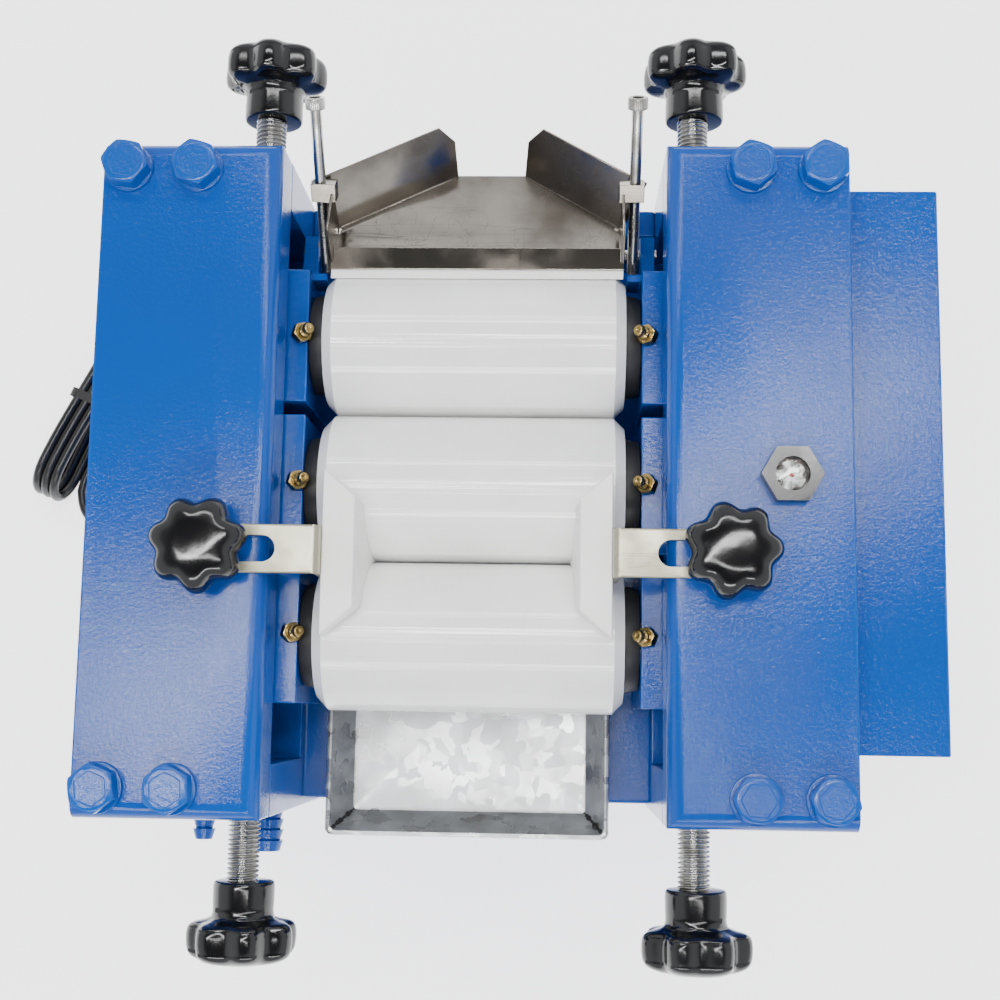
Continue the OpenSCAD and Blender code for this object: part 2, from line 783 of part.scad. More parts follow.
// Apron frame: the origin is at the plate's front edge, local +Y runs down the slope
module on_apron() {
    on_axis() translate([apron_mid, plate_y, plate_z]) rotate([-apron_slope, 0, 0]) children();
}
out_x = outlet_x - apron_mid;
funnel_lean = 22;
module funnel_wall(side) {
    run_x = apron_w / 2 - outlet_w / 2 - side * out_x;
    run_y = plate_run - side_run;
    len = sqrt(run_x * run_x + run_y * run_y);
    flip_x(side) translate([apron_w / 2, side_run, 0]) rotate(90 + atan2(run_x, run_y))
        rotate([90 + funnel_lean, 0, 0]) translate([0, 0, -apron_t]) linear_extrude(apron_t)
            polygon([[0, 0], [len, 0], [len + 3, apron_wall_h - 9], [len - 3, apron_wall_h],
                [-5, apron_wall_h]]);
}
module apron() {
    color(steel) {
        on_apron() {
            linear_extrude(apron_t)
                polygon([[-apron_w / 2, band_w - 2], [apron_w / 2, band_w - 2], [apron_w / 2, side_run],
                    [out_x + outlet_w / 2, plate_run], [out_x - outlet_w / 2, plate_run],
                    [-apron_w / 2, side_run]]);
            for (s = [-1, 1]) {
                funnel_wall(s);
                translate([s > 0 ? apron_w / 2 - apron_t : -apron_w / 2, 0, 0])
                    cube([apron_t, side_run + 1, apron_wall_h - 2]);
            }
        }
        // Bent band over the blade, with the step down to the plate behind it
        on_axis() {
            block(apron_mid - apron_w / 2, apron_mid + apron_w / 2, band_y, band_y + band_w, blade_top,
                blade_top + apron_t);
            block(apron_mid - apron_w / 2, apron_mid + apron_w / 2, band_y + band_w - apron_t,
                band_y + band_w, blade_top - 7, blade_top + apron_t);
        }
        // Ears on the rod and the threaded blocks of the stop screws
        for (s = [-1, 1]) {
            on_axis() difference() {
                block(s > 0 ? ear_x : -ear_x - ear_t, s > 0 ? ear_x + ear_t : -ear_x, rod_y - 8, rod_y + 8,
                    rod_z - 7, plate_z - 8);
                translate([0, rod_y, rod_z]) rod_x(-ear_x - 5, ear_x + 5, rod_d + 2 * fit);
            }
            stop_axis(s) difference() {
                block(s > 0 ? -7 : -4, s > 0 ? 4 : 7, -4, 4, stop_nut, stop_nut + 8);
                rod_z(stop_nut - 1, stop_nut + 9, stop_d + 2 * run_fit);
            }
        }
    }
}
ear_x = apron_w / 2 - ear_t - 1;
blade_top = plate_z + 2.2;
band_y = plate_y - 1.3;
band_w = 10;
module scraper_blade() {
    clear_w = apron_w / 2 - apron_t - 0.1;
    color(white) on_axis() difference() {
        union() {
            block(apron_mid - apron_w / 2, apron_mid + apron_w / 2, pitch, plate_y - 0.4,
                blade_top - blade_t, blade_top);
            block(apron_mid - clear_w, apron_mid + clear_w, pitch, band_y + band_w - apron_t - 0.1,
                blade_top - blade_t, blade_top);
        }
        translate([0, pitch, 0]) rod_x(-roll_l, roll_l, roll_d + 2 * cheek_gap, $fn = 128);
    }
}
module apron_rod() {
    reach = block_x + lug_w + 1;
    color(steel) on_axis() translate([0, rod_y, rod_z]) rod_x(-reach, reach, rod_d);
}
// The stop screws lean back at 37 degrees; their local +Z points from tip to head
stop_x = apron_w / 2 + 4.5;
stop_lean = 53;
stop_nut = 34;
tip_gap = 0.6;
module stop_axis(s) {
    on_axis() translate([apron_mid + s * stop_x, pitch + block_w / 2 + tip_gap + 3, 4])
        rotate([-stop_lean, 0, 0]) children();
}
module stop_screw(s) {
    color(zinc) stop_axis(s) {
        rod_z(0, stop_l, stop_d);
        difference() {
            rod_z(stop_l, stop_l + stop_d, stop_d * 1.7);
            translate([0, 0, stop_l + stop_d / 2]) hex(stop_d * 0.8, stop_d);
        }
    }
}
module left_stop_screw() {
    stop_screw(-1);
}
module right_stop_screw() {
    stop_screw(1);
}

// Four-sided open pan between two rectangles
function rect_points(x, y0, y1, z) = [[-x, y0, z], [x, y0, z], [x, y1, z], [-x, y1, z]];
module flared_box(x0, x1, y0, y1, f, z0, z1) {
    polyhedron(points = concat(rect_points(x0, y0, y1, z0), rect_points(x1, y0 - f, y1 + f, z1)),
        faces = [[0, 1, 2, 3], [4, 7, 6, 5], [0, 4, 5, 1], [1, 5, 6, 2], [2, 6, 7, 3], [3, 7, 4, 0]]);
}
tray_front = -end_y - 12;
tray_x = -3;
module drip_tray() {
    half_w = tray_w / 2;
    floor_l = tray_l - 2 * tray_flare;
    color(zinc) on_axis() translate([tray_x, tray_front + tray_flare, -tray_floor]) difference() {
        flared_box(half_w - tray_flare, half_w, 0, floor_l, tray_flare, 0, tray_depth);
        flared_box(half_w - tray_flare - tray_t, half_w - tray_t + 0.4, tray_t, floor_l - tray_t,
            tray_flare + 0.4, tray_t, tray_depth + 1);
    }
}

sight_x = inner_x + 50;
sight_thread = 16;
module sight_plug() {
    color(black) on_axis() translate([sight_x, 0, 0]) difference() {
        union() {
            translate([0, 0, cap_top]) intersection() {
                hex(sight_af, 7);
                cylinder(h = 12, d1 = sight_af + 16, d2 = sight_af - 6);
            }
            rod_z(pocket_top, cap_top, sight_thread);
        }
        rod_z(cap_top + 1, cap_top + 8, 14);
        rod_z(pocket_top - 1, cap_top + 2, 9);
    }
}
module sight_lens() {
    color("whitesmoke") on_axis() translate([sight_x, 0, 0]) rod_z(cap_top + 1, cap_top + 5.5, 14 - 2 * fit);
}

barb_small_x = inner_x + 50;
barb_large_x = inner_x + 19;
barb_z = axis_h - 75;
barb_small_d = 8;
barb_large_d = 12;
module barb(d, ribs) {
    rib_l = 5;
    collar = 3;
    difference() {
        union() {
            rod_y(-collar, post_t - 2, d - 2 * fit);
            rod_y(-collar, 0, d + 6);
            for (k = [0 : ribs - 1]) {
                translate([0, -collar - k * rib_l, 0]) rotate([90, 0, 0])
                    cylinder(h = rib_l, d1 = d + 3, d2 = d);
            }
        }
        rod_y(-collar - ribs * rib_l - 1, post_t, d - 4);
    }
}
module water_barbs() {
    color(blue) {
        translate([-barb_small_x, -end_y, barb_z]) barb(barb_small_d, 3);
        translate([-barb_large_x, -end_y, barb_z]) barb(barb_large_d, 4);
    }
}

rocker_x = 120;
rocker_z = 150;
rocker_w = 20;
rocker_h = 26;
module power_rocker() {
    half = rocker_h / 2 - 1.5;
    color("darkred") translate([rocker_x - (rocker_w - 1) / 2, -end_y, rocker_z]) rotate([90, 0, 90])
        linear_extrude(rocker_w - 1)
            polygon([[-1, half], [3, half], [5, 0], [3, -half], [-4.5, -half], [-1.5, 0]]);
}

// Mains cord: gland on the left wall, a free stretch, a tied hank and a plug
gland_at = [-outer_x, -45, 60];
gland_thread = 12;
gland_l = 30;
hank_l = 142;
hank_h = 42;
hank_w = 25.5;
gland_mouth = [-outer_x - gland_l, -45, 60];
hank_tip = [gland_mouth[0] - 114, gland_mouth[1] + 83];
hank_turn = -23;
module cord_gland() {
    color(black) translate(gland_at) rotate([0, -90, 0]) difference() {
        union() {
            rod_z(-shell_t - 4, 0, gland_thread - 2 * fit);
            hex(19, 8);
            translate([0, 0, 8]) cylinder(h = gland_l - 8, d1 = 15, d2 = 9);
        }
        rod_z(-shell_t - 5, gland_l + 1, cord_d - 0.8);
    }
}
// Centre line of the free stretch, then of the tail that leads from the hank to the plug, both
// measured from the gland's mouth along the bench and from the bench upwards
function from_mouth(p) = [for (q = p) [gland_mouth[0] + q[0], gland_mouth[1] + q[1], q[2]]];
route = from_mouth([[0, 0, 60], [-9, 0, 59], [-18, 0.5, 56], [-25, 1.5, 50], [-31, 3.5, 42],
    [-35, 6, 33], [-39, 9, 24], [-44, 13, 15], [-51, 19, 8], [-59, 27, 4.2], [-68, 36, 3.1],
    [-77, 48, 3.1], [-85, 60, 3.1], [-92, 72, 3.1], [-96, 78, 3.1], [-98, 84, 3.1], [-99, 91, 3.1]]);
tail = from_mouth([[-74, 201, 3.1], [-70, 210, 3.1], [-62, 220, 3.1], [-50, 225, 3.1], [-37, 223, 3.1],
    [-26, 215, 3.1], [-21, 202, 3.6], [-23, 189, 5], [-28, 176, 7.6], [-33, 164, 9]]);
function unit(v) = v / norm(v);
function heading(p, i) = unit(p[min(i + 1, len(p) - 1)] - p[max(i - 1, 0)]);
function ring(p, i, r, n) = let(t = heading(p, i), a = unit(cross(t, [0, 0, 1])), b = cross(t, a))
    [for (k = [0 : n - 1]) p[i] + r * (cos(360 * k / n) * a + sin(360 * k / n) * b)];
module tube(p, d, n) {
    last = len(p) - 1;
    points = [for (i = [0 : last]) for (q = ring(p, i, d / 2, n)) q];
    sides = [for (i = [0 : last - 1]) for (k = [0 : n - 1])
        [i * n + k, i * n + (k + 1) % n, (i + 1) * n + (k + 1) % n, (i + 1) * n + k]];
    start = [for (k = [n - 1 : -1 : 0]) k];
    end = [for (k = [0 : n - 1]) last * n + k];
    polyhedron(points = points, faces = concat(sides, [start], [end]), convexity = 6);
}
module cord_tube() {
    color(black) {
        tube(route, cord_d, 8);
        tube(tail, cord_d, 8);
    }
}
module cord_hank() {
    color(black) translate([hank_tip[0], hank_tip[1], hank_h / 2]) rotate(hank_turn)
        translate([-hank_w / 2, 0, 0]) rotate([90, 0, 90]) linear_extrude(hank_w) {
            translate([hank_h / 2, 0]) circle(d = hank_h);
            translate([hank_l - hank_h / 2, 0]) circle(d = hank_h);
            translate([hank_h / 2, -hank_h / 2]) square([hank_l - hank_h, hank_h]);
        }
}
// Two-pin mains plug lying flat, its cord end at the end of the tail
plug_turn = 157;
plug_boot = 24;
plug_l = 30;
plug_w = 26;
plug_h = 18;
pin_d = 4.8;
pin_l = 19;
pin_gap = 19;
module mains_plug() {
    color(black) translate(tail[len(tail) - 1]) rotate(plug_turn) {
        translate([0, plug_boot, 0]) rotate([90, 0, 0]) cylinder(h = plug_boot, d1 = 14, d2 = 9);
        translate([0, plug_boot, -plug_h / 2]) linear_extrude(plug_h)
            polygon([[-8, 0], [8, 0], [plug_w / 2, 9], [plug_w / 2, plug_l], [-plug_w / 2, plug_l],
                [-plug_w / 2, 9]]);
        for (x = [-1, 1]) {
            translate([x * pin_gap / 2, plug_boot + plug_l, 0]) rod_y(-1, pin_l, pin_d);
        }
    }
}

base_plate();
base_shell();
access_panel();
cover_screws();
left_frame();
right_frame();
left_cap();
right_cap();
side_covers();
cap_bolts();
rear_tie_beam();
front_blocks();
middle_blocks();
rear_blocks();
front_bearings();
middle_bearings();
rear_bearings();
front_roll_sleeve();
middle_roll_sleeve();
rear_roll_sleeve();
front_shaft();
middle_shaft();
rear_shaft();
front_gear();
middle_pinion();
middle_gear();
rear_pinion();
driven_pulley();
drive_belt();
motor_pulley();
gear_motor();
drive_guard();
left_front_screw();
left_rear_screw();
right_front_screw();
right_rear_screw();
left_front_knob();
left_rear_knob();
right_front_knob();
right_rear_knob();
left_bracket();
right_bracket();
left_cheek();
right_cheek();
left_clamp_knob();
right_clamp_knob();
apron();
scraper_blade();
apron_rod();
left_stop_screw();
right_stop_screw();
drip_tray();
sight_plug();
sight_lens();
water_barbs();
power_rocker();
cord_gland();
cord_tube();
cord_hank();
mains_plug();
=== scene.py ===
"""A benchtop three-roll mill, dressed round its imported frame.

Lengths are in millimetres until a mesh is made, unless a name says otherwise. X runs
along the rolls, +Y is the scraper's side, and Z is up from the bench.
"""

import json
import logging
import math
from dataclasses import dataclass, field
from enum import Enum
from functools import reduce
from operator import add
from typing import Callable, Iterable, Sequence

import bmesh
import bpy
import numpy as np
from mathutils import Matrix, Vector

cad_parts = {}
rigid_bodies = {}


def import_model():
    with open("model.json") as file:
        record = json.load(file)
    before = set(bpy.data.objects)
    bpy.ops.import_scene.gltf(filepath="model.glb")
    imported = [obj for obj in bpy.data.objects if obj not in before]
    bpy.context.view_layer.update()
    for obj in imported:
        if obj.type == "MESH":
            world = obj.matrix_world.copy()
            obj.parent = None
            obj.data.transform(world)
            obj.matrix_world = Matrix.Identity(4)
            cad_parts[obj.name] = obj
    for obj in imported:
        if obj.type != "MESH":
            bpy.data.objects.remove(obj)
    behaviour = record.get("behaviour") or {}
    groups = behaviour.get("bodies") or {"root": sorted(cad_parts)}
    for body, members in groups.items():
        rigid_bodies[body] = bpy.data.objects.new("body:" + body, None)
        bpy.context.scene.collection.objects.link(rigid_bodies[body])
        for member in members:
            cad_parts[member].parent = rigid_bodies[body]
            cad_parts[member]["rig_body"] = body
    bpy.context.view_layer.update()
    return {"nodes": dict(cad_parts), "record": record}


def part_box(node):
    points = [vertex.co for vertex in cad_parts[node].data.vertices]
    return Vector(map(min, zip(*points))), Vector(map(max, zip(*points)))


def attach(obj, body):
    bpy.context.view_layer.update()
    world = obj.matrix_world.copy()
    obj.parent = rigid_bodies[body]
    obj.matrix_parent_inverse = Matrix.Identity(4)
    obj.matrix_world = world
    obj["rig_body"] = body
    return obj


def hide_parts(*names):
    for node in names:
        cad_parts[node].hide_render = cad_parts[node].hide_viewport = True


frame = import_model()

LOG = logging.getLogger("three_roll_mill")
MM = 0.001
TURN = 2.0 * math.pi
SHARP_EDGE = 38.0
HEXAGON_CORNER = 0.572
THREAD_DEPTH = 0.58
THREAD_CHAMFER = 0.62

Array = np.ndarray
Colour = tuple[float, float, float]
Socket = bpy.types.NodeSocket
Object = bpy.types.Object


class Side(Enum):
    """The two sides of the machine along the rolls."""

    LEFT = -1.0
    RIGHT = 1.0


class End(Enum):
    """The two ends of the side frames across the rolls."""

    FRONT = -1.0
    REAR = 1.0


def rgba(colour: Colour) -> tuple[float, float, float, float]:
    """The colour with a full alpha."""
    return (*colour, 1.0)


def node_box(node: str) -> tuple[Array, Array]:
    """The lowest and highest corners of a CAD node, in millimetres."""
    low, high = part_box(node)
    return np.array(low) / MM, np.array(high) / MM


# ---------------------------------------------------------------- shapes


@dataclass
class Surface:
    """A closed shape: points in millimetres, four-sided faces and three-sided faces."""

    points: Array
    quads: Array
    triangles: Array

    def __add__(self, other: "Surface") -> "Surface":
        """Both shapes as one."""
        shift = len(self.points)
        return Surface(
            np.vstack([self.points, other.points]),
            np.vstack([self.quads, other.quads + shift]),
            np.vstack([self.triangles, other.triangles + shift]),
        )

    def moved(self, offset: Sequence[float]) -> "Surface":
        """The shape moved by an offset."""
        return Surface(self.points + np.array(offset, float), self.quads, self.triangles)

    def placed(self, origin: Sequence[float], axis: Sequence[float], twist: float = 0.0) -> "Surface":
        """Turns local +Z to an axis and moves the local origin.

        The local X axis lies level where it can, and twist turns the shape about its own
        axis first, in degrees.

        Args:
            origin: Where the local origin goes.
            axis: The direction of local +Z.
            twist: Degrees about the local axis.

        Returns:
            The turned and moved shape.
        """
        along = np.array(axis, float) / np.linalg.norm(axis)
        helper = np.array([0.0, 0.0, 1.0]) if abs(along[2]) < 0.9 else np.array([0.0, 1.0, 0.0])
        across = np.cross(helper, along)
        across /= np.linalg.norm(across)
        basis = np.stack([across, np.cross(along, across), along])
        c, s = math.cos(math.radians(twist)), math.sin(math.radians(twist))
        spin = np.array([[c, s, 0.0], [-s, c, 0.0], [0.0, 0.0, 1.0]])
        return Surface(self.points @ spin @ basis, self.quads, self.triangles).moved(origin)


def joined(shapes: Iterable[Surface]) -> Surface:
    """All the shapes as one, in their order."""
    return reduce(add, shapes)


def polar(radius: Array, angle: Array, height: Array) -> Array:
    """Points about Z from radii, angles and heights that span one grid."""
    parts = np.broadcast_arrays(radius * np.cos(angle), radius * np.sin(angle), height)
    return np.stack(parts, -1)


def skin(rings: Array, closed: bool = False) -> Surface:
    """A skin over rings of points, which run anticlockwise seen from the last ring.

    Face (k, j) joins points j and j + 1 of ring k to the same points of ring k + 1. Open
    ends are closed by a fan to the middle of the end ring, and a closed skin joins its
    last ring to its first.

    Args:
        rings: Array of rings by points by three.
        closed: Whether the last ring joins the first.

    Returns:
        The closed shape.
    """
    count, size = rings.shape[:2]
    k = np.arange(count if closed else count - 1)[:, None]
    j = np.arange(size)[None, :]
    following, beside = (k + 1) % count, (j + 1) % size
    corners = [k * size + j, k * size + beside, following * size + beside, following * size + j]
    quads = np.stack(np.broadcast_arrays(*corners), -1).reshape(-1, 4)
    points = rings.reshape(-1, 3)
    if closed:
        return Surface(points, quads, np.zeros((0, 3), int))
    ring, beside = np.arange(size), (np.arange(size) + 1) % size
    start, finish = np.full(size, count * size), np.full(size, count * size + 1)
    last = (count - 1) * size
    lower = np.stack([beside, ring, start], -1)
    upper = np.stack([last + ring, last + beside, finish], -1)
    fans = np.vstack([lower, upper])
    return Surface(np.vstack([points, rings[0].mean(0), rings[-1].mean(0)]), quads, fans)


def rounded(corners: Sequence[tuple[float, ...]], radius: float, steps: int = 4) -> Array:
    """An outline whose inner corners are rounded.

    Each inner corner P gives way to the curve (1 - t)^2 A + 2 t (1 - t) P + t^2 B, where A
    and B lie a radius before and after P, or half a side where the side is short.

    Args:
        corners: The outline's corners, each of any number of values.
        radius: How far from a corner its curve starts.
        steps: Points on each curve.

    Returns:
        The rounded outline, one point a row.
    """
    p = np.array(corners, float)
    back, ahead = p[:-2] - p[1:-1], p[2:] - p[1:-1]

    def share(side: Array) -> Array:
        """The share of each side that its curve takes."""
        length = np.maximum(np.linalg.norm(side, axis=1), 1e-9)
        return np.minimum(radius / length, 0.5)[:, None]

    a, b = p[1:-1] + back * share(back), p[1:-1] + ahead * share(ahead)
    t = np.linspace(0.0, 1.0, steps)[None, :, None]
    curve = (1 - t) ** 2 * a[:, None] + 2 * t * (1 - t) * p[1:-1][:, None] + t**2 * b[:, None]
    return np.vstack([p[:1], curve.reshape(-1, p.shape[1]), p[-1:]])


def around(count: int) -> Array:
    """Evenly spaced angles of one turn."""
    return np.arange(count) * TURN / count


def turned(
    profile: Array, count: int = 48, shape: Callable[[Array, Array], Array] | None = None
) -> Surface:
    """A part turned about Z: ring k has radius and height profile[k].

    Args:
        profile: Rows of radius and height, from the lower end to the upper.
        count: Points in a ring.
        shape: Gives the radius from the ring radii, as a column, and the angles, as a row.

    Returns:
        The closed shape.
    """
    radius, height, angle = profile[:, :1], profile[:, 1:2], around(count)[None, :]
    r = shape(radius, angle) if shape else radius + 0.0 * angle
    return skin(polar(r, angle, height))


def hoop(outline: Sequence[tuple[float, float]], count: int = 64, bend: float = 0.6) -> Surface:
    """A ring about Z whose section is a closed outline of radius and height, anticlockwise."""
    corners = [outline[-1], *outline, outline[0]]
    section = rounded(corners, bend, 3)[1:-1]
    angle = around(count)[:, None]
    rings = polar(section[None, :, 0], angle, section[None, :, 1])
    return skin(rings[:, ::-1], closed=True)


def hexagon_radius(flats: float, angle: Array, soften: float = 24.0) -> Array:
    """Radius of a hexagon at each angle: half the flats over the cosine of the angle from the
    nearest flat's middle, held under a circle near its corners so that they are rounded."""
    fold = (angle + TURN / 12) % (TURN / 6) - TURN / 12
    straight, circle = flats / 2 / np.cos(fold), flats * HEXAGON_CORNER
    return (straight**-soften + circle**-soften) ** (-1.0 / soften)


def hexagon_head(flats: float, height: float, dish: float = 0.0) -> Surface:
    """A hexagon head with a chamfered top.

    A point at radius rho stands at the full height less tan 30 degrees times how far rho
    passes the chamfer circle, and less the dish near the middle.

    Args:
        flats: Size across the flats.
        height: Height of the head.
        dish: Depth of the shallow dish in its top.

    Returns:
        The closed head, standing on its origin.
    """
    angle = around(72)[None, :]
    edge = hexagon_radius(flats, angle)
    share = np.array([1.0, 1.0, 0.985, 0.93, 0.85, 0.72, 0.66, 0.3])[:, None]
    rho = edge * share
    top = height - np.maximum(0.0, rho - flats * 0.47) * math.tan(math.radians(30))
    top = top - dish * (share < 0.7)
    top[0] = 0.0
    return skin(polar(rho, angle, top))


def threaded_rod(
    length: float, diameter: float, pitch: float, count: int = 28, steps: int = 8
) -> Surface:
    """A screw thread about Z.

    The radius is the crest's less the thread's depth times 0.5 - 0.5 cos of a turn of
    (z / pitch - angle / turn), held to flat crests and roots, and both ends are chamfered.

    Args:
        length: Length of the rod.
        diameter: Diameter over the crests.
        pitch: Rise in one turn.
        count: Points in a ring.
        steps: Rings in one pitch.

    Returns:
        The closed rod from its origin along +Z.
    """
    height = np.linspace(0.0, length, int(length / pitch * steps) + 1)[:, None]
    angle = around(count)[None, :]
    wave = 0.5 - 0.5 * np.cos(TURN * height / pitch - angle)
    depth = THREAD_DEPTH * pitch * np.clip(1.5 * wave - 0.25, 0.0, 1.0)
    from_end = np.minimum(height, length - height)
    radius = np.minimum(diameter / 2 - depth, diameter / 2 - THREAD_CHAMFER * pitch + from_end)
    return skin(polar(radius, angle, height))


def box_loop(
    half_x: Array, half_y: Array, corner: Array, height: Array, count: int = 12
) -> Array:
    """Level loops with rounded corners, one ring a row.

    A corner's points are its centre plus its radius times the cosine and sine of angles
    over a quarter turn, and the four corners follow each other anticlockwise.

    Args:
        half_x: Half of each loop's width.
        half_y: Half of each loop's length.
        corner: Each loop's corner radius.
        height: Each loop's height.
        count: Points in one corner.

    Returns:
        Array of loops by points by three.
    """
    quarter = np.arange(4)[:, None] * TURN / 4 + np.linspace(0.0, TURN / 4, count)[None, :]
    sign_x, sign_y = np.array([1, -1, -1, 1])[:, None], np.array([1, 1, -1, -1])[:, None]
    half_x, half_y, corner, height = (
        np.asarray(value, float)[:, None, None] for value in (half_x, half_y, corner, height)
    )
    x = sign_x * (half_x - corner) + corner * np.cos(quarter)
    y = sign_y * (half_y - corner) + corner * np.sin(quarter)
    rings = np.stack([x, y, height + 0.0 * x], -1)
    return rings.reshape(len(rings), -1, 3)


def smooth_path(points: Array, steps: int = 6) -> Array:
    """A curve through the points, whose tangent at each is half the step between its
    neighbours (Catmull-Rom), worked out for every span at once."""
    p = np.vstack([2 * points[0] - points[1], points, 2 * points[-1] - points[-2]])
    a, b, c, d = p[:-3, None], p[1:-2, None], p[2:-1, None], p[3:, None]
    t = (np.arange(steps) / steps)[None, :, None]
    square, cube = 2 * a - 5 * b + 4 * c - d, 3 * b - a - 3 * c + d
    span = 0.5 * (2 * b + (c - a) * t + square * t**2 + cube * t**3)
    return np.vstack([span.reshape(-1, 3), points[-1:]])


def mesh_from(name: str, surface: Surface, sharp: float) -> bpy.types.Mesh:
    """Puts a surface into a mesh, in metres and smooth, with edges sharp past an angle.

    Args:
        name: The mesh's name.
        surface: The closed shape.
        sharp: Degrees between faces past which an edge stays sharp.

    Returns:
        The new mesh.
    """
    mesh = bpy.data.meshes.new(name)
    sizes = np.concatenate([np.full(len(surface.quads), 4), np.full(len(surface.triangles), 3)])
    corners = np.concatenate([surface.quads.ravel(), surface.triangles.ravel()])
    mesh.vertices.add(len(surface.points))
    mesh.vertices.foreach_set("co", (surface.points * MM).astype(np.float32).ravel())
    mesh.loops.add(len(corners))
    mesh.loops.foreach_set("vertex_index", corners.astype(np.int32))
    mesh.polygons.add(len(sizes))
    starts = np.concatenate([[0], np.cumsum(sizes)[:-1]])
    mesh.polygons.foreach_set("loop_start", starts.astype(np.int32))
    mesh.update(calc_edges=True)
    mesh.validate()
    mesh.polygons.foreach_set("use_smooth", np.ones(len(mesh.polygons), bool))
    mesh.set_sharp_from_angle(angle=math.radians(sharp))
    return mesh


# ---------------------------------------------------------------- node trees


class Tree:
    """Short calls for building one node tree."""

    def __init__(self, tree: bpy.types.NodeTree) -> None:
        """Keeps the node tree to build in."""
        self.tree = tree

    def add(self, kind: str, inputs: dict | None = None, **settings: object) -> bpy.types.Node:
        """Adds a shader node.

        Args:
            kind: The node's type without its ShaderNode prefix.
            inputs: Values or sockets by the input's name or number.
            settings: The node's own properties.

        Returns:
            The new node.
        """
        node = self.tree.nodes.new("ShaderNode" + kind)
        for key, value in settings.items():
            setattr(node, key, value)
        for key, value in (inputs or {}).items():
            self.feed(node.inputs[key], value)
        return node

    def feed(self, socket: Socket, value: object) -> None:
        """Links a socket to another, or sets its value."""
        if isinstance(value, Socket):
            self.tree.links.new(value, socket)
        else:
            socket.default_value = value

    def math(self, operation: str, a: object, b: object = 0.0) -> Socket:
        """One Math node's result."""
        return self.add("Math", {0: a, 1: b}, operation=operation).outputs[0]

    def mix(self, factor: object, a: object, b: object) -> Socket:
        """Colour a turning into colour b as the factor rises."""
        return self.add("Mix", {0: factor, 6: a, 7: b}, data_type="RGBA").outputs[2]

    def window(
        self, value: object, low: float, high: float, start: float = 0.0, end: float = 1.0
    ) -> Socket:
        """Goes smoothly from start to end as the value goes from low to high."""
        inputs = {
            "Value": value, "From Min": low, "From Max": high, "To Min": start, "To Max": end,
        }
        return self.add("MapRange", inputs, interpolation_type="SMOOTHSTEP").outputs[0]

    def noise(self, vector: object, scale: object, detail: float = 2.0) -> Socket:
        """A noise texture's value."""
        return self.add("TexNoise", {"Vector": vector, "Scale": scale, "Detail": detail}).outputs[0]

    def mapped(
        self, vector: object, scale: Sequence[float], turn: Sequence[float] = (0, 0, 0)
    ) -> Socket:
        """Coordinates turned by degrees and scaled along each axis."""
        inputs = {"Vector": vector, "Scale": scale, "Rotation": [math.radians(a) for a in turn]}
        return self.add("Mapping", inputs).outputs[0]

    def bump(self, height: object, depth: float, strength: float = 1.0) -> Socket:
        """A normal from a height, whose full depth is in millimetres."""
        inputs = {"Height": height, "Distance": depth * MM, "Strength": strength}
        return self.add("Bump", inputs).outputs[0]


@dataclass(frozen=True)
class Effect:
    """A shader group that several finishes share, built on first use."""

    name: str
    inputs: tuple[tuple[str, float], ...]
    output: str
    fill: Callable[[Tree, dict[str, Socket]], Socket]

    def build(self) -> bpy.types.NodeTree:
        """Makes the group's sockets and fills it."""
        group = bpy.data.node_groups.new(self.name, "ShaderNodeTree")
        group.interface.new_socket("Vector", in_out="INPUT", socket_type="NodeSocketVector")
        for name, value in self.inputs:
            socket = group.interface.new_socket(name, in_out="INPUT", socket_type="NodeSocketFloat")
            socket.default_value = value
        group.interface.new_socket(self.output, in_out="OUTPUT", socket_type="NodeSocketFloat")
        start, end = group.nodes.new("NodeGroupInput"), group.nodes.new("NodeGroupOutput")
        result = self.fill(Tree(group), {s.name: s for s in start.outputs if s.name})
        group.links.new(result, end.inputs[0])
        return group

    def place(self, tree: Tree, vector: Socket, **values: float) -> Socket:
        """Puts the group in a material with its own values, and gives its output."""
        node = tree.add("Group")
        node.node_tree = bpy.data.node_groups.get(self.name) or self.build()
        tree.feed(node.inputs["Vector"], vector)
        for name, value in values.items():
            node.inputs[name].default_value = value
        return node.outputs[0]


def fill_peel(tree: Tree, given: dict[str, Socket]) -> Socket:
    """Sprayed paint's orange peel: soft cells with a finer grain on them."""
    coarse = tree.noise(given["Vector"], given["Scale"], 1.0)
    fine = tree.noise(given["Vector"], tree.math("MULTIPLY", given["Scale"], 3.1), 1.0)
    return tree.math("ADD", coarse, tree.math("MULTIPLY", fine, 0.35))


def fill_tone(tree: Tree, given: dict[str, Socket]) -> Socket:
    """Slow unevenness of a surface, from 0 to 1."""
    return tree.window(tree.noise(given["Vector"], given["Scale"], 5.0), 0.3, 0.72)


def fill_specks(tree: Tree, given: dict[str, Socket]) -> Socket:
    """Small scattered specks: the middles of a chosen share of Voronoi cells."""
    inputs = {"Vector": given["Vector"], "Scale": given["Scale"], "Randomness": 1.0}
    cells = tree.add("TexVoronoi", inputs)
    red = tree.add("SeparateColor", {0: cells.outputs["Color"]}).outputs[0]
    chosen = tree.math("LESS_THAN", red, given["Share"])
    size = tree.math("MULTIPLY", red, 0.5)
    middle = tree.math("LESS_THAN", cells.outputs["Distance"], tree.math("ADD", size, 0.06))
    return tree.math("MULTIPLY", chosen, middle)


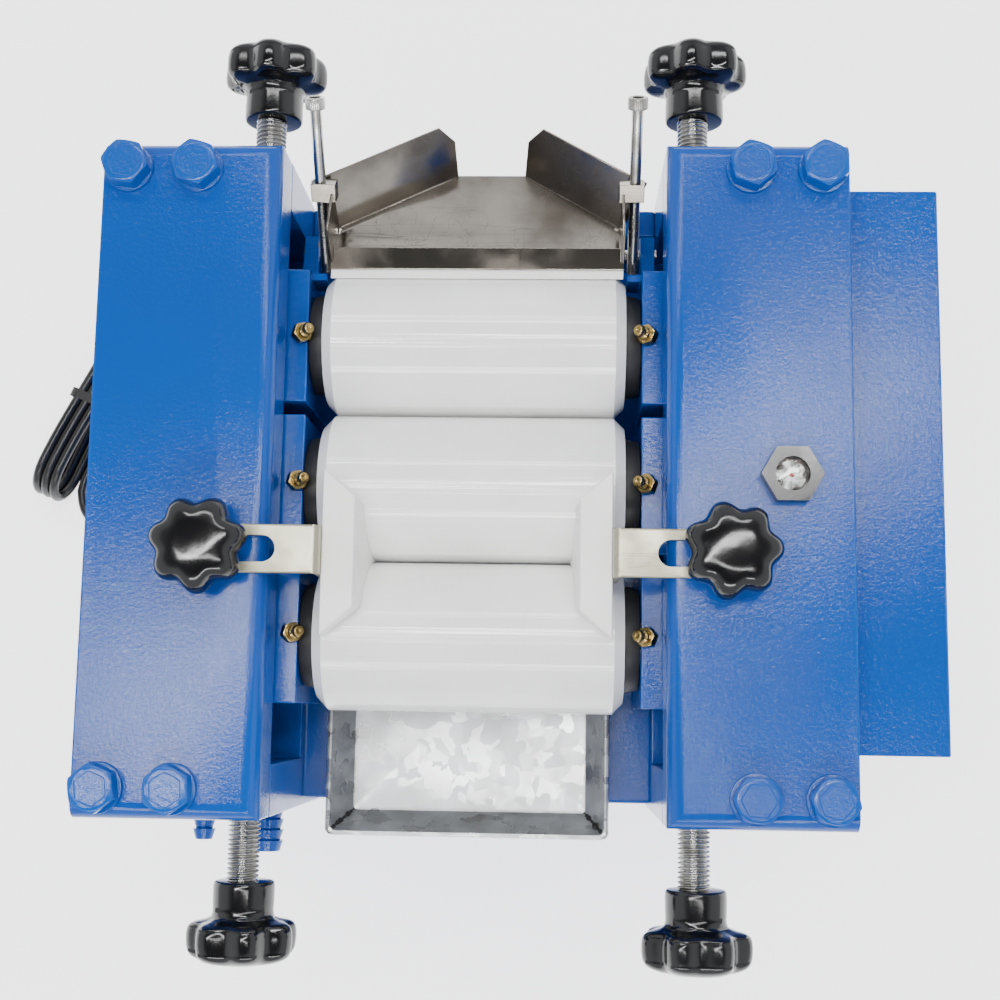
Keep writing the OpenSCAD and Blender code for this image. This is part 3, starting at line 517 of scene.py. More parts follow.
def fill_scratches(tree: Tree, given: dict[str, Socket]) -> Socket:
    """Fine short scratches: narrow bands of a noise drawn out along a slanting direction."""
    marks = []
    for turn, stretch in (((0, 0, 24), (1.0, 0.045, 1.0)), ((20, 0, -52), (0.05, 1.0, 1.0))):
        drawn = tree.mapped(given["Vector"], stretch, turn)
        value = tree.noise(drawn, given["Scale"], 2.0)
        from_middle = tree.math("ABSOLUTE", tree.math("SUBTRACT", value, 0.5))
        marks.append(tree.window(from_middle, 0.0, 0.012, 1.0, 0.0))
    gate = tree.window(tree.noise(given["Vector"], 14.0, 2.0), 0.52, 0.66)
    either = tree.math("MAXIMUM", *marks)
    return tree.math("MULTIPLY", either, tree.math("MULTIPLY", gate, given["Amount"]))


def fill_chips(tree: Tree, given: dict[str, Socket]) -> Socket:
    """Ragged chips where the noise rises past a level set by the share that is bare."""
    level = tree.math("SUBTRACT", 0.82, tree.math("MULTIPLY", given["Share"], 0.4))
    over = tree.math("SUBTRACT", tree.noise(given["Vector"], given["Scale"], 6.0), level)
    return tree.window(over, 0.0, 0.03)


def fill_brushed(tree: Tree, given: dict[str, Socket]) -> Socket:
    """Drawn or ground metal's grain: a noise with long threads along X."""
    return tree.noise(tree.mapped(given["Vector"], (0.03, 1.0, 1.0)), given["Scale"], 3.0)


PEEL = Effect("orange_peel", (("Scale", 300.0),), "Height", fill_peel)
TONE = Effect("uneven_tone", (("Scale", 12.0),), "Value", fill_tone)
SPECKS = Effect("specks", (("Scale", 120.0), ("Share", 0.1)), "Mask", fill_specks)
SCRATCHES = Effect("scratches", (("Scale", 120.0), ("Amount", 1.0)), "Mask", fill_scratches)
CHIPS = Effect("chips", (("Scale", 90.0), ("Share", 0.2)), "Mask", fill_chips)
BRUSHED = Effect("brushed_grain", (("Scale", 900.0),), "Height", fill_brushed)


# ---------------------------------------------------------------- finishes


@dataclass(frozen=True)
class Finish:
    """A finish's name and the values that stay the same all over it."""

    name: str
    colour: Colour
    roughness: float = 0.4
    metallic: float = 0.0
    coat: float = 0.0
    shine: float = 0.5

    def material(self) -> bpy.types.Material:
        """The finish's material, made on first use."""
        known = bpy.data.materials.get(self.name)
        if known is not None:
            return known
        material = bpy.data.materials.new(self.name)
        material.use_nodes = True
        shader = material.node_tree.nodes["Principled BSDF"]
        shader.inputs["Metallic"].default_value = self.metallic
        shader.inputs["Coat Weight"].default_value = self.coat
        shader.inputs["Coat Roughness"].default_value = 0.08
        shader.inputs["Specular IOR Level"].default_value = self.shine
        tree = Tree(material.node_tree)
        self.dress(tree, shader, tree.add("TexCoord").outputs["Object"])
        return material

    def dress(self, tree: Tree, shader: bpy.types.Node, place: Socket) -> None:
        """Feeds the shader's varying inputs; each kind of finish has its own."""
        raise NotImplementedError

    def vary(
        self, tree: Tree, shader: bpy.types.Node, tone: Socket, other: Colour, spread: float
    ) -> Socket:
        """Feeds a roughness that follows the tone, and gives a base colour that does too."""
        low, high = max(0.02, self.roughness - spread), self.roughness + spread
        tree.feed(shader.inputs["Roughness"], tree.window(tone, 0.0, 1.0, low, high))
        return tree.mix(tone, rgba(self.colour), rgba(other))


def specked(
    tree: Tree, place: Socket, base: Socket, colour: Colour, scale: float, share: float, amount: float
) -> Socket:
    """The base colour with specks of another over it.

    Args:
        tree: The material's tree.
        place: Coordinates.
        base: The base colour.
        colour: The specks' colour.
        scale: Cells in a metre.
        share: The share of cells with a speck.
        amount: How strongly the specks cover the base.

    Returns:
        The mixed colour.
    """
    specks = SPECKS.place(tree, place, Scale=scale, Share=share)
    return tree.mix(tree.math("MULTIPLY", specks, amount), base, rgba(colour))


@dataclass(frozen=True)
class Paint(Finish):
    """Sprayed gloss paint with orange peel, dust specks, scratches and chips."""

    deep: Colour = (0.0002, 0.052, 0.29)
    primer: Colour = (0.16, 0.15, 0.13)
    chipped: float = 0.06
    peel: float = 0.07
    sparkle: float = 0.8

    def dress(self, tree: Tree, shader: bpy.types.Node, place: Socket) -> None:
        """Paint over primer, with dark specks under its gloss."""
        tone = TONE.place(tree, place, Scale=8.0)
        base = self.vary(tree, shader, tone, self.deep, 0.05)
        base = specked(tree, place, base, (0.01, 0.02, 0.04), 170.0, 0.03, 0.7)
        scratches = SCRATCHES.place(tree, place, Scale=70.0, Amount=0.35)
        base = tree.mix(scratches, base, rgba((0.02, 0.11, 0.30)))
        chips = CHIPS.place(tree, place, Scale=110.0, Share=self.chipped)
        tree.feed(shader.inputs["Base Color"], tree.mix(chips, base, rgba(self.primer)))
        grain = tree.math("MULTIPLY", tree.noise(place, 1900.0, 2.0), self.sparkle)
        height = tree.math("ADD", PEEL.place(tree, place, Scale=560.0), grain)
        height = tree.math("SUBTRACT", height, tree.math("MULTIPLY", chips, 0.8))
        tree.feed(shader.inputs["Normal"], tree.bump(height, self.peel))


@dataclass(frozen=True)
class RollFace(Finish):
    """A roll's ground white face, whose faint flats along its length break up highlights."""

    centre: tuple[float, float] = (0.0, 340.0)
    flats: float = 60.0

    def dress(self, tree: Tree, shader: bpy.types.Node, place: Socket) -> None:
        """Height is a noise of the angle round the roll, barely changing along it."""
        offset = (0.0, -self.centre[0] * MM, -self.centre[1] * MM)
        moved = tree.add("Mapping", {"Vector": place, "Location": offset})
        parts = tree.add("SeparateXYZ", {0: moved.outputs[0]}).outputs
        angle = tree.math("ARCTAN2", parts[1], parts[2])
        round_roll = tree.math("MULTIPLY", angle, self.flats / TURN)
        lines = tree.add("CombineXYZ", {0: round_roll, 1: tree.math("MULTIPLY", parts[0], 1.2)})
        height = tree.noise(lines.outputs[0], 2.0, 1.5)
        tone = TONE.place(tree, place, Scale=30.0)
        base = self.vary(tree, shader, tone, (0.85, 0.85, 0.83), 0.04)
        smear = tree.math("MULTIPLY", SCRATCHES.place(tree, place, Scale=45.0, Amount=0.4), 0.25)
        tree.feed(shader.inputs["Base Color"], tree.mix(smear, base, rgba((0.6, 0.6, 0.58))))
        tree.feed(shader.inputs["Normal"], tree.bump(height, 0.15))


@dataclass(frozen=True)
class Plastic(Finish):
    """Moulded or machined plastic or rubber: a fine grain and slight marks."""

    other: Colour = (0.03, 0.03, 0.03)
    grain: float = 900.0
    depth: float = 0.01
    specks: float = 0.02

    def dress(self, tree: Tree, shader: bpy.types.Node, place: Socket) -> None:
        """Two close tones, dust specks and a fine grain."""
        tone = TONE.place(tree, place, Scale=35.0)
        base = self.vary(tree, shader, tone, self.other, 0.05)
        dusty = specked(tree, place, base, (0.25, 0.24, 0.22), 260.0, self.specks, 0.5)
        tree.feed(shader.inputs["Base Color"], dusty)
        grain = PEEL.place(tree, place, Scale=self.grain)
        tree.feed(shader.inputs["Normal"], tree.bump(grain, self.depth))


@dataclass(frozen=True)
class Metal(Finish):
    """Bare or plated metal: drawn grain, staining and scratches; on the stainless sheet the dark
    stained patches are also painted dark reflection.
    """

    stain_and_dark_reflection: Colour = (0.2, 0.19, 0.17)
    stain_and_reflection_scale: float = 14.0
    spread: float = 0.08
    grain: float = 900.0
    depth: float = 0.006
    speckled: float = 0.0

    def dress(self, tree: Tree, shader: bpy.types.Node, place: Socket) -> None:
        """Plating over stained patches, which on the stainless sheet are also painted dark reflection,
        with darker specks, scratches and a drawn grain.
        """
        tone = TONE.place(tree, place, Scale=self.stain_and_reflection_scale)
        base = self.vary(tree, shader, tone, self.stain_and_dark_reflection, self.spread)
        dark = tuple(0.35 * c for c in self.colour)
        base = specked(tree, place, base, dark, 420.0, self.speckled, 0.5)
        marks = SCRATCHES.place(tree, place, Scale=160.0, Amount=0.5)
        tree.feed(shader.inputs["Base Color"], tree.mix(marks, base, rgba(dark)))
        grain = BRUSHED.place(tree, place, Scale=self.grain)
        tree.feed(shader.inputs["Normal"], tree.bump(tree.math("SUBTRACT", grain, marks), self.depth))


@dataclass(frozen=True)
class Galvanised(Finish):
    """Hot-dip zinc: crystals of differing tone and gloss, with a drawn grain over them."""

    crystals: float = 150.0

    def dress(self, tree: Tree, shader: bpy.types.Node, place: Socket) -> None:
        """Each crystal takes its tone and gloss from the colour of a warped Voronoi cell."""
        warp = tree.add("TexNoise", {"Vector": place, "Scale": 90.0, "Detail": 3.0}).outputs["Color"]
        bent = tree.add("Mix", {0: 0.016, 6: place, 7: warp}, data_type="RGBA").outputs[2]
        cells = tree.add("TexVoronoi", {"Vector": bent, "Scale": self.crystals})
        pick = tree.add("SeparateColor", {0: cells.outputs["Color"]}).outputs[0]
        cloud = TONE.place(tree, place, Scale=60.0)
        value = tree.math("MULTIPLY", tree.math("ADD", pick, tree.math("MULTIPLY", cloud, 0.9)), 0.52)
        grey = (0.34, 0.34, 0.335)
        tree.feed(shader.inputs["Base Color"], tree.mix(value, rgba(grey), rgba(self.colour)))
        gloss = tree.window(pick, 0.0, 1.0, self.roughness - 0.1, self.roughness + 0.12)
        tree.feed(shader.inputs["Roughness"], gloss)
        drawn = BRUSHED.place(tree, place, Scale=700.0)
        grain = tree.math("ADD", drawn, tree.math("MULTIPLY", pick, 0.5))
        tree.feed(shader.inputs["Normal"], tree.bump(grain, 0.008))


@dataclass(frozen=True)
class Glass(Finish):
    """A clear moulded lens."""

    def dress(self, tree: Tree, shader: bpy.types.Node, place: Socket) -> None:
        """Clear, with a little haze and a faint grain."""
        shader.inputs["Transmission Weight"].default_value = 1.0
        shader.inputs["IOR"].default_value = 1.49
        tone = TONE.place(tree, place, Scale=60.0)
        haze = self.vary(tree, shader, tone, (0.93, 0.95, 0.95), 0.01)
        tree.feed(shader.inputs["Base Color"], haze)
        tree.feed(shader.inputs["Normal"], tree.bump(PEEL.place(tree, place, Scale=500.0), 0.01))


BLUE = (0.0002, 0.062, 0.34)
BLUE_PAINT = Paint("finish_blue_paint", BLUE, roughness=0.11, shine=0.3)
WORN_PAINT = Paint(
    "finish_worn_edge", (0.0006, 0.078, 0.38), roughness=0.14, shine=0.35, chipped=0.3)
CHEEK_PLASTIC = Plastic(
    "finish_white_plate", (0.86, 0.86, 0.84), 0.42, other=(0.81, 0.81, 0.78), specks=0.006)
BLACK_PLASTIC = Plastic(
    "finish_black_knob", (0.004, 0.004, 0.0045), 0.17, other=(0.007, 0.007, 0.0075),
    grain=500.0, depth=0.015, specks=0.004)
BLACK_RUBBER = Plastic(
    "finish_black_rubber", (0.008, 0.008, 0.008), 0.5, other=(0.014, 0.013, 0.013), specks=0.03)
CORD_SHEATH = Plastic(
    "finish_cord_sheath", (0.006, 0.006, 0.0065), 0.33, other=(0.011, 0.011, 0.011), specks=0.008)
RED_PLASTIC = Plastic("finish_switch_red", (0.55, 0.015, 0.012), 0.3, other=(0.45, 0.012, 0.01))
ZINC = Metal(
    "finish_zinc_plate", (0.44, 0.42, 0.32), 0.40, 0.85,
    stain_and_dark_reflection=(0.34, 0.32, 0.24), stain_and_reflection_scale=55.0, speckled=0.25)
THREAD_ZINC = Metal(
    "finish_thread_zinc", (0.46, 0.46, 0.45), 0.28, 1.0, stain_and_dark_reflection=(0.26, 0.25, 0.22), stain_and_reflection_scale=90.0)
STEEL = Metal(
    "finish_turned_steel", (0.44, 0.44, 0.43), 0.25, 1.0, stain_and_dark_reflection=(0.40, 0.39, 0.37), stain_and_reflection_scale=40.0)
# The stainless sheet's dark brown patches are painted dark reflection as well as staining.
STAINLESS = Metal(
    "finish_stainless_sheet", (0.36, 0.33, 0.29), 0.2, 1.0,
    stain_and_dark_reflection=(0.11, 0.095, 0.08), stain_and_reflection_scale=22.0, spread=0.1, speckled=0.05)
BRASS = Metal(
    "finish_brass", (0.46, 0.33, 0.12), 0.27, 1.0, stain_and_dark_reflection=(0.24, 0.17, 0.06), stain_and_reflection_scale=160.0)
GALVANISED = Galvanised("finish_galvanised", (0.60, 0.62, 0.64), 0.34, 0.85)
MOTOR_GREY = Paint(
    "finish_motor_grey", (0.25, 0.27, 0.28), 0.45, deep=(0.18, 0.19, 0.20), chipped=0.02)
LENS = Glass("finish_lens", (0.97, 0.98, 0.98), 0.03)
SILVERED = Metal(
    "finish_silvered", (0.88, 0.88, 0.87), 0.3, 0.7, stain_and_dark_reflection=(0.75, 0.75, 0.74), stain_and_reflection_scale=120.0)
DARK_STEEL = Metal(
    "finish_sight_body", (0.42, 0.39, 0.36), 0.28, 1.0, stain_and_dark_reflection=(0.22, 0.20, 0.19), stain_and_reflection_scale=120.0)

SLOT_FINISH: dict[str, Finish] = {
    "blue_paint": BLUE_PAINT, "white_nylon": CHEEK_PLASTIC, "zinc": ZINC, "bearing_steel": STEEL,
    "black_plastic": BLACK_PLASTIC, "stainless": STAINLESS, "galvanised": GALVANISED,
    "motor_grey": MOTOR_GREY, "belt_rubber": BLACK_RUBBER, "clear_lens": LENS, "cord_pvc": CORD_SHEATH,
    "switch_red": RED_PLASTIC, "bare_plate": STEEL,
}


# ---------------------------------------------------------------- pieces


@dataclass
class Place:
    """Where a new piece belongs: its body, its record slot and the nodes it stands for."""

    body: str
    slot: str | None = None
    replaces: tuple[str, ...] = ()


def linked(name: str, data: bpy.types.ID) -> Object:
    """A new object in the scene that shows the data."""
    obj = bpy.data.objects.new(name, data)
    bpy.context.scene.collection.objects.link(obj)
    return obj


def settle(obj: Object, place: Place) -> Object:
    """Rides a finished object on its body and hides the nodes that it replaces."""
    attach(obj, place.body)
    if place.replaces:
        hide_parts(*place.replaces)
    LOG.info("%s rides on %s", obj.name, place.body)
    return obj


def new_piece(
    name: str, surface: Surface, finish: Finish, place: Place, sharp: float = SHARP_EDGE
) -> Object:
    """Makes a piece from a surface.

    Args:
        name: The piece's name.
        surface: Its closed shape.
        finish: Its finish.
        place: Where it belongs.
        sharp: Degrees past which its edges stay sharp.

    Returns:
        The piece.
    """
    obj = linked(name, mesh_from(name, surface, sharp))
    obj.data.materials.append(finish.material())
    return settle(obj, place)


def body_of_node(node: str) -> str:
    """The CAD body that a node rides on."""
    return frame["nodes"][node]["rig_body"]


def slot_of_node(node: str) -> str:
    """The record's material slot of a node."""
    return next(s["material_slot"] for s in frame["record"]["subparts"] if s["node"] == node)


def eased_copy(
    node: str, width: float, least: float, worn: bool = True, segments: int = 2
) -> Object:
    """A copy of a CAD node whose long sharp edges are rounded, standing for the node.

    Args:
        node: The CAD node.
        width: The rounding's width.
        least: Edges shorter than this stay sharp, so that holes keep their rims.
        worn: Whether the rounded edges take the worn paint.
        segments: Faces across a rounding.

    Returns:
        The copy, with a live Bevel modifier.
    """
    mesh = frame["nodes"][node].data.copy()
    shape = bmesh.new()
    shape.from_mesh(mesh)
    bmesh.ops.remove_doubles(shape, verts=shape.verts, dist=2e-6)
    bmesh.ops.dissolve_limit(
        shape, angle_limit=math.radians(0.8), verts=shape.verts, edges=shape.edges
    )
    weight = shape.edges.layers.float.new("bevel_weight_edge")
    for edge in shape.edges:
        turn = edge.calc_face_angle(0.0)
        wanted = turn > math.radians(SHARP_EDGE) and edge.calc_length() > least * MM
        edge[weight] = 1.0 if wanted else 0.0
    for face in shape.faces:
        face.smooth = True
    shape.to_mesh(mesh)
    shape.free()
    for attribute in [a for a in mesh.attributes if a.name == "custom_normal"]:
        mesh.attributes.remove(attribute)
    mesh.set_sharp_from_angle(angle=math.radians(SHARP_EDGE))
    obj = linked(node + "_eased", mesh)
    slot = slot_of_node(node)
    mesh.materials.clear()
    mesh.materials.append(SLOT_FINISH[slot].material())
    bevel = obj.modifiers.new("eased_edges", "BEVEL")
    bevel.width, bevel.segments, bevel.limit_method = width * MM, segments, "WEIGHT"
    bevel.use_clamp_overlap = False
    bevel.harden_normals = True
    if worn:
        mesh.materials.append(WORN_PAINT.material())
        bevel.material = 1
    return settle(obj, Place(body_of_node(node), slot, (node,)))


@dataclass
class Bodywork:
    """The painted plates and castings: rounded copies of their CAD nodes."""

    eased: dict[str, tuple[float, float]] = field(default_factory=lambda: {
        "left_cap": (0.9, 12.0), "right_cap": (0.9, 12.0),
        "left_frame": (0.9, 14.0), "right_frame": (0.9, 14.0),
        "base_shell": (1.6, 20.0), "drive_guard": (1.0, 60.0), "rear_tie_beam": (0.9, 9.0),
        "front_blocks": (0.7, 8.0), "middle_blocks": (0.7, 8.0), "rear_blocks": (0.7, 8.0),
        "access_panel": (0.5, 20.0), "side_covers": (0.4, 20.0),
    })

    def build(self) -> None:
        """Makes every rounded copy."""
        for node, (width, least) in self.eased.items():
            eased_copy(node, width, least)


@dataclass
class CapBolts:
    """Eight painted hexagon bolts on washers, which hold the caps down."""

    flats: float = 18.0
    head: float = 8.0
    washer: float = 21.0
    washer_height: float = 2.0
    pitch: float = 30.0
    shank: float = 12.0
    reach: float = 39.0
    turns: tuple[float, ...] = (8.0, 21.0, 3.0, 14.0, 26.0, 11.0, 18.0, 5.0)

    def bolt(self, turn: float) -> Surface:
        """One bolt on its washer, its seat at the origin.

        Args:
            turn: Degrees that the head is turned by.

        Returns:
            The washer, head and shank.
        """
        outer, inner, top, half = self.washer / 2, 4.0, self.washer_height, self.shank / 2
        ring = rounded([(inner, 0.0), (outer, 0.0), (outer, top), (inner, top)], 0.45)
        head = hexagon_head(self.flats, self.head, 0.35).placed((0, 0, top), (0, 0, 1), turn)
        shank = np.array([[half - 1, -self.reach], [half, 1.0 - self.reach], [half, 0.5]])
        return turned(ring, 56) + head + turned(shank, 24)

    def build(self) -> None:
        """Places the eight bolts from the CAD bolts' box."""
        low, high = node_box("cap_bolts")
        seat = high[2] - self.head - self.washer_height
        outer = high[0] - self.washer / 2
        row = high[1] - self.washer / 2
        columns = (-outer, -outer + self.pitch, outer - self.pitch, outer)
        spots = [(x, y, seat) for x in columns for y in (-row, row)]
        bolts = joined(self.bolt(turn).moved(spot) for turn, spot in zip(self.turns, spots))
        place = Place("root", "blue_paint", ("cap_bolts",))
        new_piece("painted_cap_bolts", bolts, WORN_PAINT, place, 30.0)


@dataclass
class StarKnob:
    """A moulded star knob: a hub that flares into a head with rounded lobes."""

    node: str
    axis: tuple[float, float, float]
    radius: float
    outline: tuple[tuple[float, float], ...]
    height: float
    stud: float = 0.0
    lobes: int = 7
    dip: float = 0.17
    twist: float = 0.0

    def surface(self) -> Surface:
        """Ring radius r becomes r (1 - dip w (1 - cos(lobes angle)) / 2), where w rises from 0
        to 1 between the hub's radius and the head's."""
        profile = rounded(self.outline, self.radius * 0.12, 5)
        profile[:, 0] *= self.radius / profile[:, 0].max()
        hub = self.outline[1][0]

        def star(radius: Array, angle: Array) -> Array:
            """Draws the head in between its lobes."""
            share = np.clip((radius - hub) / (self.radius - hub), 0.0, 1.0)
            wave = 0.5 - 0.5 * np.cos(self.lobes * angle)
            return radius * (1.0 - self.dip * share**0.6 * wave**1.3)

        return turned(profile, 112, star)

    def build(self) -> None:
        """Puts the knob's foot its height inside the outer end of its CAD node."""
        low, high = node_box(self.node)
        axis = np.array(self.axis)
        end = np.where(axis > 0, high, np.where(axis < 0, low, (low + high) / 2))
        shape = self.surface().placed(end - self.height * axis, self.axis, self.twist)
        if self.stud:
            rod = threaded_rod(self.stud, 7.9, 1.25, 24, 6)
            shape = shape + rod.placed(end - (self.height + self.stud - 1.0) * axis, self.axis)
        place = Place(body_of_node(self.node), "black_plastic", (self.node,))
        new_piece(self.node + "_moulded", shape, BLACK_PLASTIC, place, 50.0)


HAND_KNOB = (
    (11.6, 0.0), (13.25, 0.3), (13.2, 9.0), (12.9, 14.5), (15.5, 16.2), (22.0, 17.4), (24.0, 20.0),
    (24.0, 27.0), (22.6, 31.2), (17.0, 33.6), (11.0, 34.4), (9.8, 33.8), (1.0, 33.8),
)
CLAMP_KNOB = (
    (9.0, 0.0), (11.0, 0.3), (11.0, 5.0), (14.0, 6.4), (18.8, 7.6), (20.0, 10.0), (20.0, 14.5),
    (18.6, 19.4), (14.5, 22.4), (8.0, 23.7), (1.0, 24.0),
)


@dataclass
class HandScrews:
    """The four spindles that close the rolls, with their star knobs."""

    diameter: float = 14.0
    pitch: float = 2.0

    def build(self) -> None:
        """Makes each thread along its CAD node, then its knob."""
        for side in Side:
            for end in End:
                name = f"{side.name.lower()}_{end.name.lower()}"
                low, high = node_box(name + "_screw")
                centre = (low + high) / 2
                near = low[1] if end is End.REAR else high[1]
                rod = threaded_rod(high[1] - low[1], self.diameter, self.pitch)
                rod = rod.placed((centre[0], near, centre[2]), (0, end.value, 0))
                place = Place(body_of_node(name + "_screw"), "zinc", (name + "_screw",))
                new_piece(name + "_thread", rod, THREAD_ZINC, place, 60.0)
                twist = 20.0 * side.value + 9.0 * end.value
                outward = (0.0, end.value, 0.0)
                StarKnob(name + "_knob", outward, 24.0, HAND_KNOB, 36.0, twist=twist).build()


@dataclass
class Hopper:
    """Two white cheeks on slotted brackets, each held by a star knob."""

    knob_radius: float = 20.0
    knob_height: float = 24.0
    stud: float = 19.0

    def build(self) -> None:
        """Softens the cheeks and brackets and adds the knobs."""
        for side, twist in ((Side.LEFT, 14.0), (Side.RIGHT, 3.0)):
            name = side.name.lower()
            eased_copy(name + "_cheek", 0.7, 6.0, worn=False)
            eased_copy(name + "_bracket", 1.0, 8.0, worn=False, segments=3)
            StarKnob(
                name + "_clamp_knob", (0.0, 0.0, 1.0), self.knob_radius, CLAMP_KNOB,
                self.knob_height, self.stud, twist=twist,
            ).build()


@dataclass
class SocketScrew:
    """A long socket-head cap screw with a thread over its lower half."""

    name: str
    radius: float = 2.5
    head_radius: float = 4.25
    head: float = 5.0
    slope: float = 37.0

    def build(self) -> None:
        """Lays the screw along its slanting CAD node, from its foot."""
        low, high = node_box(self.name)
        c, s = math.cos(math.radians(self.slope)), math.sin(math.radians(self.slope))
        foot = np.array([(low[0] + high[0]) / 2, low[1] + self.radius * s, low[2] + self.radius * c])
        length = (high[1] - self.head_radius * s - foot[1]) / c
        shank = length - self.head
        thread = threaded_rod(shank * 0.5, 2 * self.radius, 0.8, 20, 6)
        neck = [(2.0, shank * 0.5 - 0.3), (2.42, shank * 0.5 + 0.3), (2.42, shank + 0.3)]
        plain = turned(rounded(neck, 0.3), 32)
        big = self.head_radius
        outline = [
            (2.3, shank), (big - 0.1, shank), (big, shank + 0.3), (big, length - 0.5),
            (big - 0.5, length), (2.45, length), (2.3, length - 0.3), (2.3, shank + 1.8),
            (0.3, shank + 1.6),
        ]
        profile = rounded(outline, 0.25, 3)

        def knurl_and_socket(radius: Array, angle: Array) -> Array:
            """Knurls the head's side and makes the inner rings a hexagon."""
            ribs = 1.0 + 0.012 * np.cos(40 * angle) * (radius > big - 0.15)
            inner = (profile[:, 1:2] > shank + 1.0) & (radius < 2.5)
            return np.where(inner, hexagon_radius(2.0, angle) * radius, radius * ribs)

        cap = turned(profile, 120, knurl_and_socket)
        shape = (thread + plain + cap).placed(foot, (0.0, c, s))
        place = Place(body_of_node(self.name), slot_of_node(self.name), (self.name,))
        new_piece(self.name + "_turned", shape, THREAD_ZINC, place, 40.0)


@dataclass
class Scraper:
    """The stainless apron, its blade and its two stop screws."""

    def build(self) -> None:
        """Softens the sheet's edges and makes the screws."""
        eased_copy("apron", 0.35, 5.0, worn=False)
        eased_copy("scraper_blade", 0.5, 5.0, worn=False)
        for side in Side:
            SocketScrew(side.name.lower() + "_stop_screw").build()


@dataclass
class DripTray:
    """A folded galvanised tray with flared walls, a hemmed rim and soldered corners."""

    sheet: float = 1.2
    flare: float = 9.0
    hem: float = 1.3
    corner: float = 2.0

    def surface(self, low: Array, high: Array) -> Surface:
        """Loops run from the middle of the floor out, up the wall, over the rolled hem and
        back under, each a rectangle with rounded corners."""
        half = (high - low)[:2] / 2
        base, rim = low[2], high[2]
        rows = [
            (self.flare + 40.0, base + self.sheet), (self.flare + 3.0, base + self.sheet),
            (self.flare + 1.4, base + self.sheet + 0.5), (self.flare + 0.9, base + self.sheet + 1.6),
            (2.2 * self.hem, rim - 2.4 * self.hem), (2.0 * self.hem, rim - self.hem),
            (1.6 * self.hem, rim - 0.3),
            (self.hem, rim), (0.4, rim - 0.3), (0.0, rim - self.hem), (0.3, rim - 2.0 * self.hem),
            (0.9, rim - 2.4 * self.hem), (self.flare - 0.4, base + 1.4), (self.flare + 0.2, base + 0.4),
            (self.flare + 1.6, base), (self.flare + 40.0, base),
        ]
        inward = np.array([r[0] for r in rows])
        radius = np.clip(self.corner + 0.12 * (self.flare - inward), 0.6, None)
        height = np.array([r[1] for r in rows])
        loops = box_loop(half[0] - inward, half[1] - inward, radius, height, 6)
        centre = np.array([(low[0] + high[0]) / 2, (low[1] + high[1]) / 2, 0.0])
        return skin(loops + centre)

    def seams(self, low: Array, high: Array) -> Surface:
        """A bead of solder up each corner: rings whose radius wavers between two lengths."""
        beads, t = [], np.linspace(0.0, 1.0, 26)
        for x, sx in ((low[0], 1.0), (high[0], -1.0)):
            for y, sy in ((low[1], 1.0), (high[1], -1.0)):
                inner = self.flare + 1.6
                foot = np.array([x + sx * inner, y + sy * inner, low[2] + 1.6])
                head = np.array([x + sx * 2.9, y + sy * 2.9, high[2] - 1.2])
                radius = 0.95 + 0.3 * np.sin(17 * t + 3 * x) + 0.18 * np.sin(41 * t + y)
                length = float(np.linalg.norm(head - foot))
                bead = turned(np.stack([radius, t * length], -1), 12)
                beads.append(bead.placed(foot, head - foot))
        return joined(beads)

    def build(self) -> None:
        """Makes the tray and its seams from the CAD tray's box."""
        low, high = node_box("drip_tray")
        body = body_of_node("drip_tray")
        place = Place(body, "galvanised", ("drip_tray",))
        new_piece("folded_tray", self.surface(low, high), GALVANISED, place, 30.0)
        place = Place(body, "galvanised")
        new_piece("tray_corner_seams", self.seams(low, high), BLACK_RUBBER, place, 60.0)


@dataclass
class RollSet:
    """The rolls' faces, their end seals and the six grease nipples on the blocks."""

    bodies: tuple[tuple[str, str], ...] = (
        ("front", "front_carriage"), ("middle", "root"), ("rear", "rear_carriage"),
    )
    seal_outer: float = 23.5
    seal_reach: float = 6.7
    seal_inner: float = 15.6
    nipple_flats: float = 8.0
    nipple_x: float = 76.2

    def nipple(self, side: Side) -> Surface:
        """A short stem, then a hexagon and a barrel that lean over the roll to a ball end."""
        stem = turned(rounded([(1.0, -0.5), (3.0, -0.5), (3.0, 2.6), (0.4, 3.6)], 0.6), 28)
        outline = [
            (2.0, 3.0), (2.9, 3.2), (2.9, 6.0), (1.7, 6.8), (1.7, 7.8), (2.6, 8.8), (2.7, 9.8),
            (2.0, 11.0), (1.0, 11.2), (0.8, 10.7), (0.2, 10.6),
        ]
        barrel = hexagon_head(self.nipple_flats, 4.2) + turned(rounded(outline, 0.35, 3), 28)
        lean = (-0.5 * side.value, 0.03, 0.86)
        return stem + barrel.placed((0.0, 0.0, 1.6), lean, 12.0)

    def build(self) -> None:
        """Dresses the rolls and places seals and nipples from the CAD boxes."""
        section = [
            (self.seal_inner, 0.3), (self.seal_outer, 0.3),
            (self.seal_outer - 1.5, self.seal_reach), (self.seal_inner, self.seal_reach),
        ]
        for name, body in self.bodies:
            low, high = node_box(name + "_roll_sleeve")
            _, y, z = (low + high) / 2
            face = RollFace(f"finish_{name}_roll", (0.92, 0.92, 0.905), 0.07, centre=(y, z))
            for slot in frame["nodes"][name + "_roll_sleeve"].material_slots:
                slot.material = face.material()
            block_top = node_box(name + "_blocks")[1][2]
            seals = []
            for side in Side:
                seals.append(hoop(section).placed((side.value * high[0], y, z), (side.value, 0, 0)))
                shape = self.nipple(side).moved((side.value * self.nipple_x, y, block_top))
                new_piece(f"{name}_{side.name.lower()}_nipple", shape, BRASS, Place(body), 32.0)
            place = Place(body, "black_plastic")
            new_piece(name + "_roll_seals", joined(seals), BLACK_RUBBER, place, 40.0)


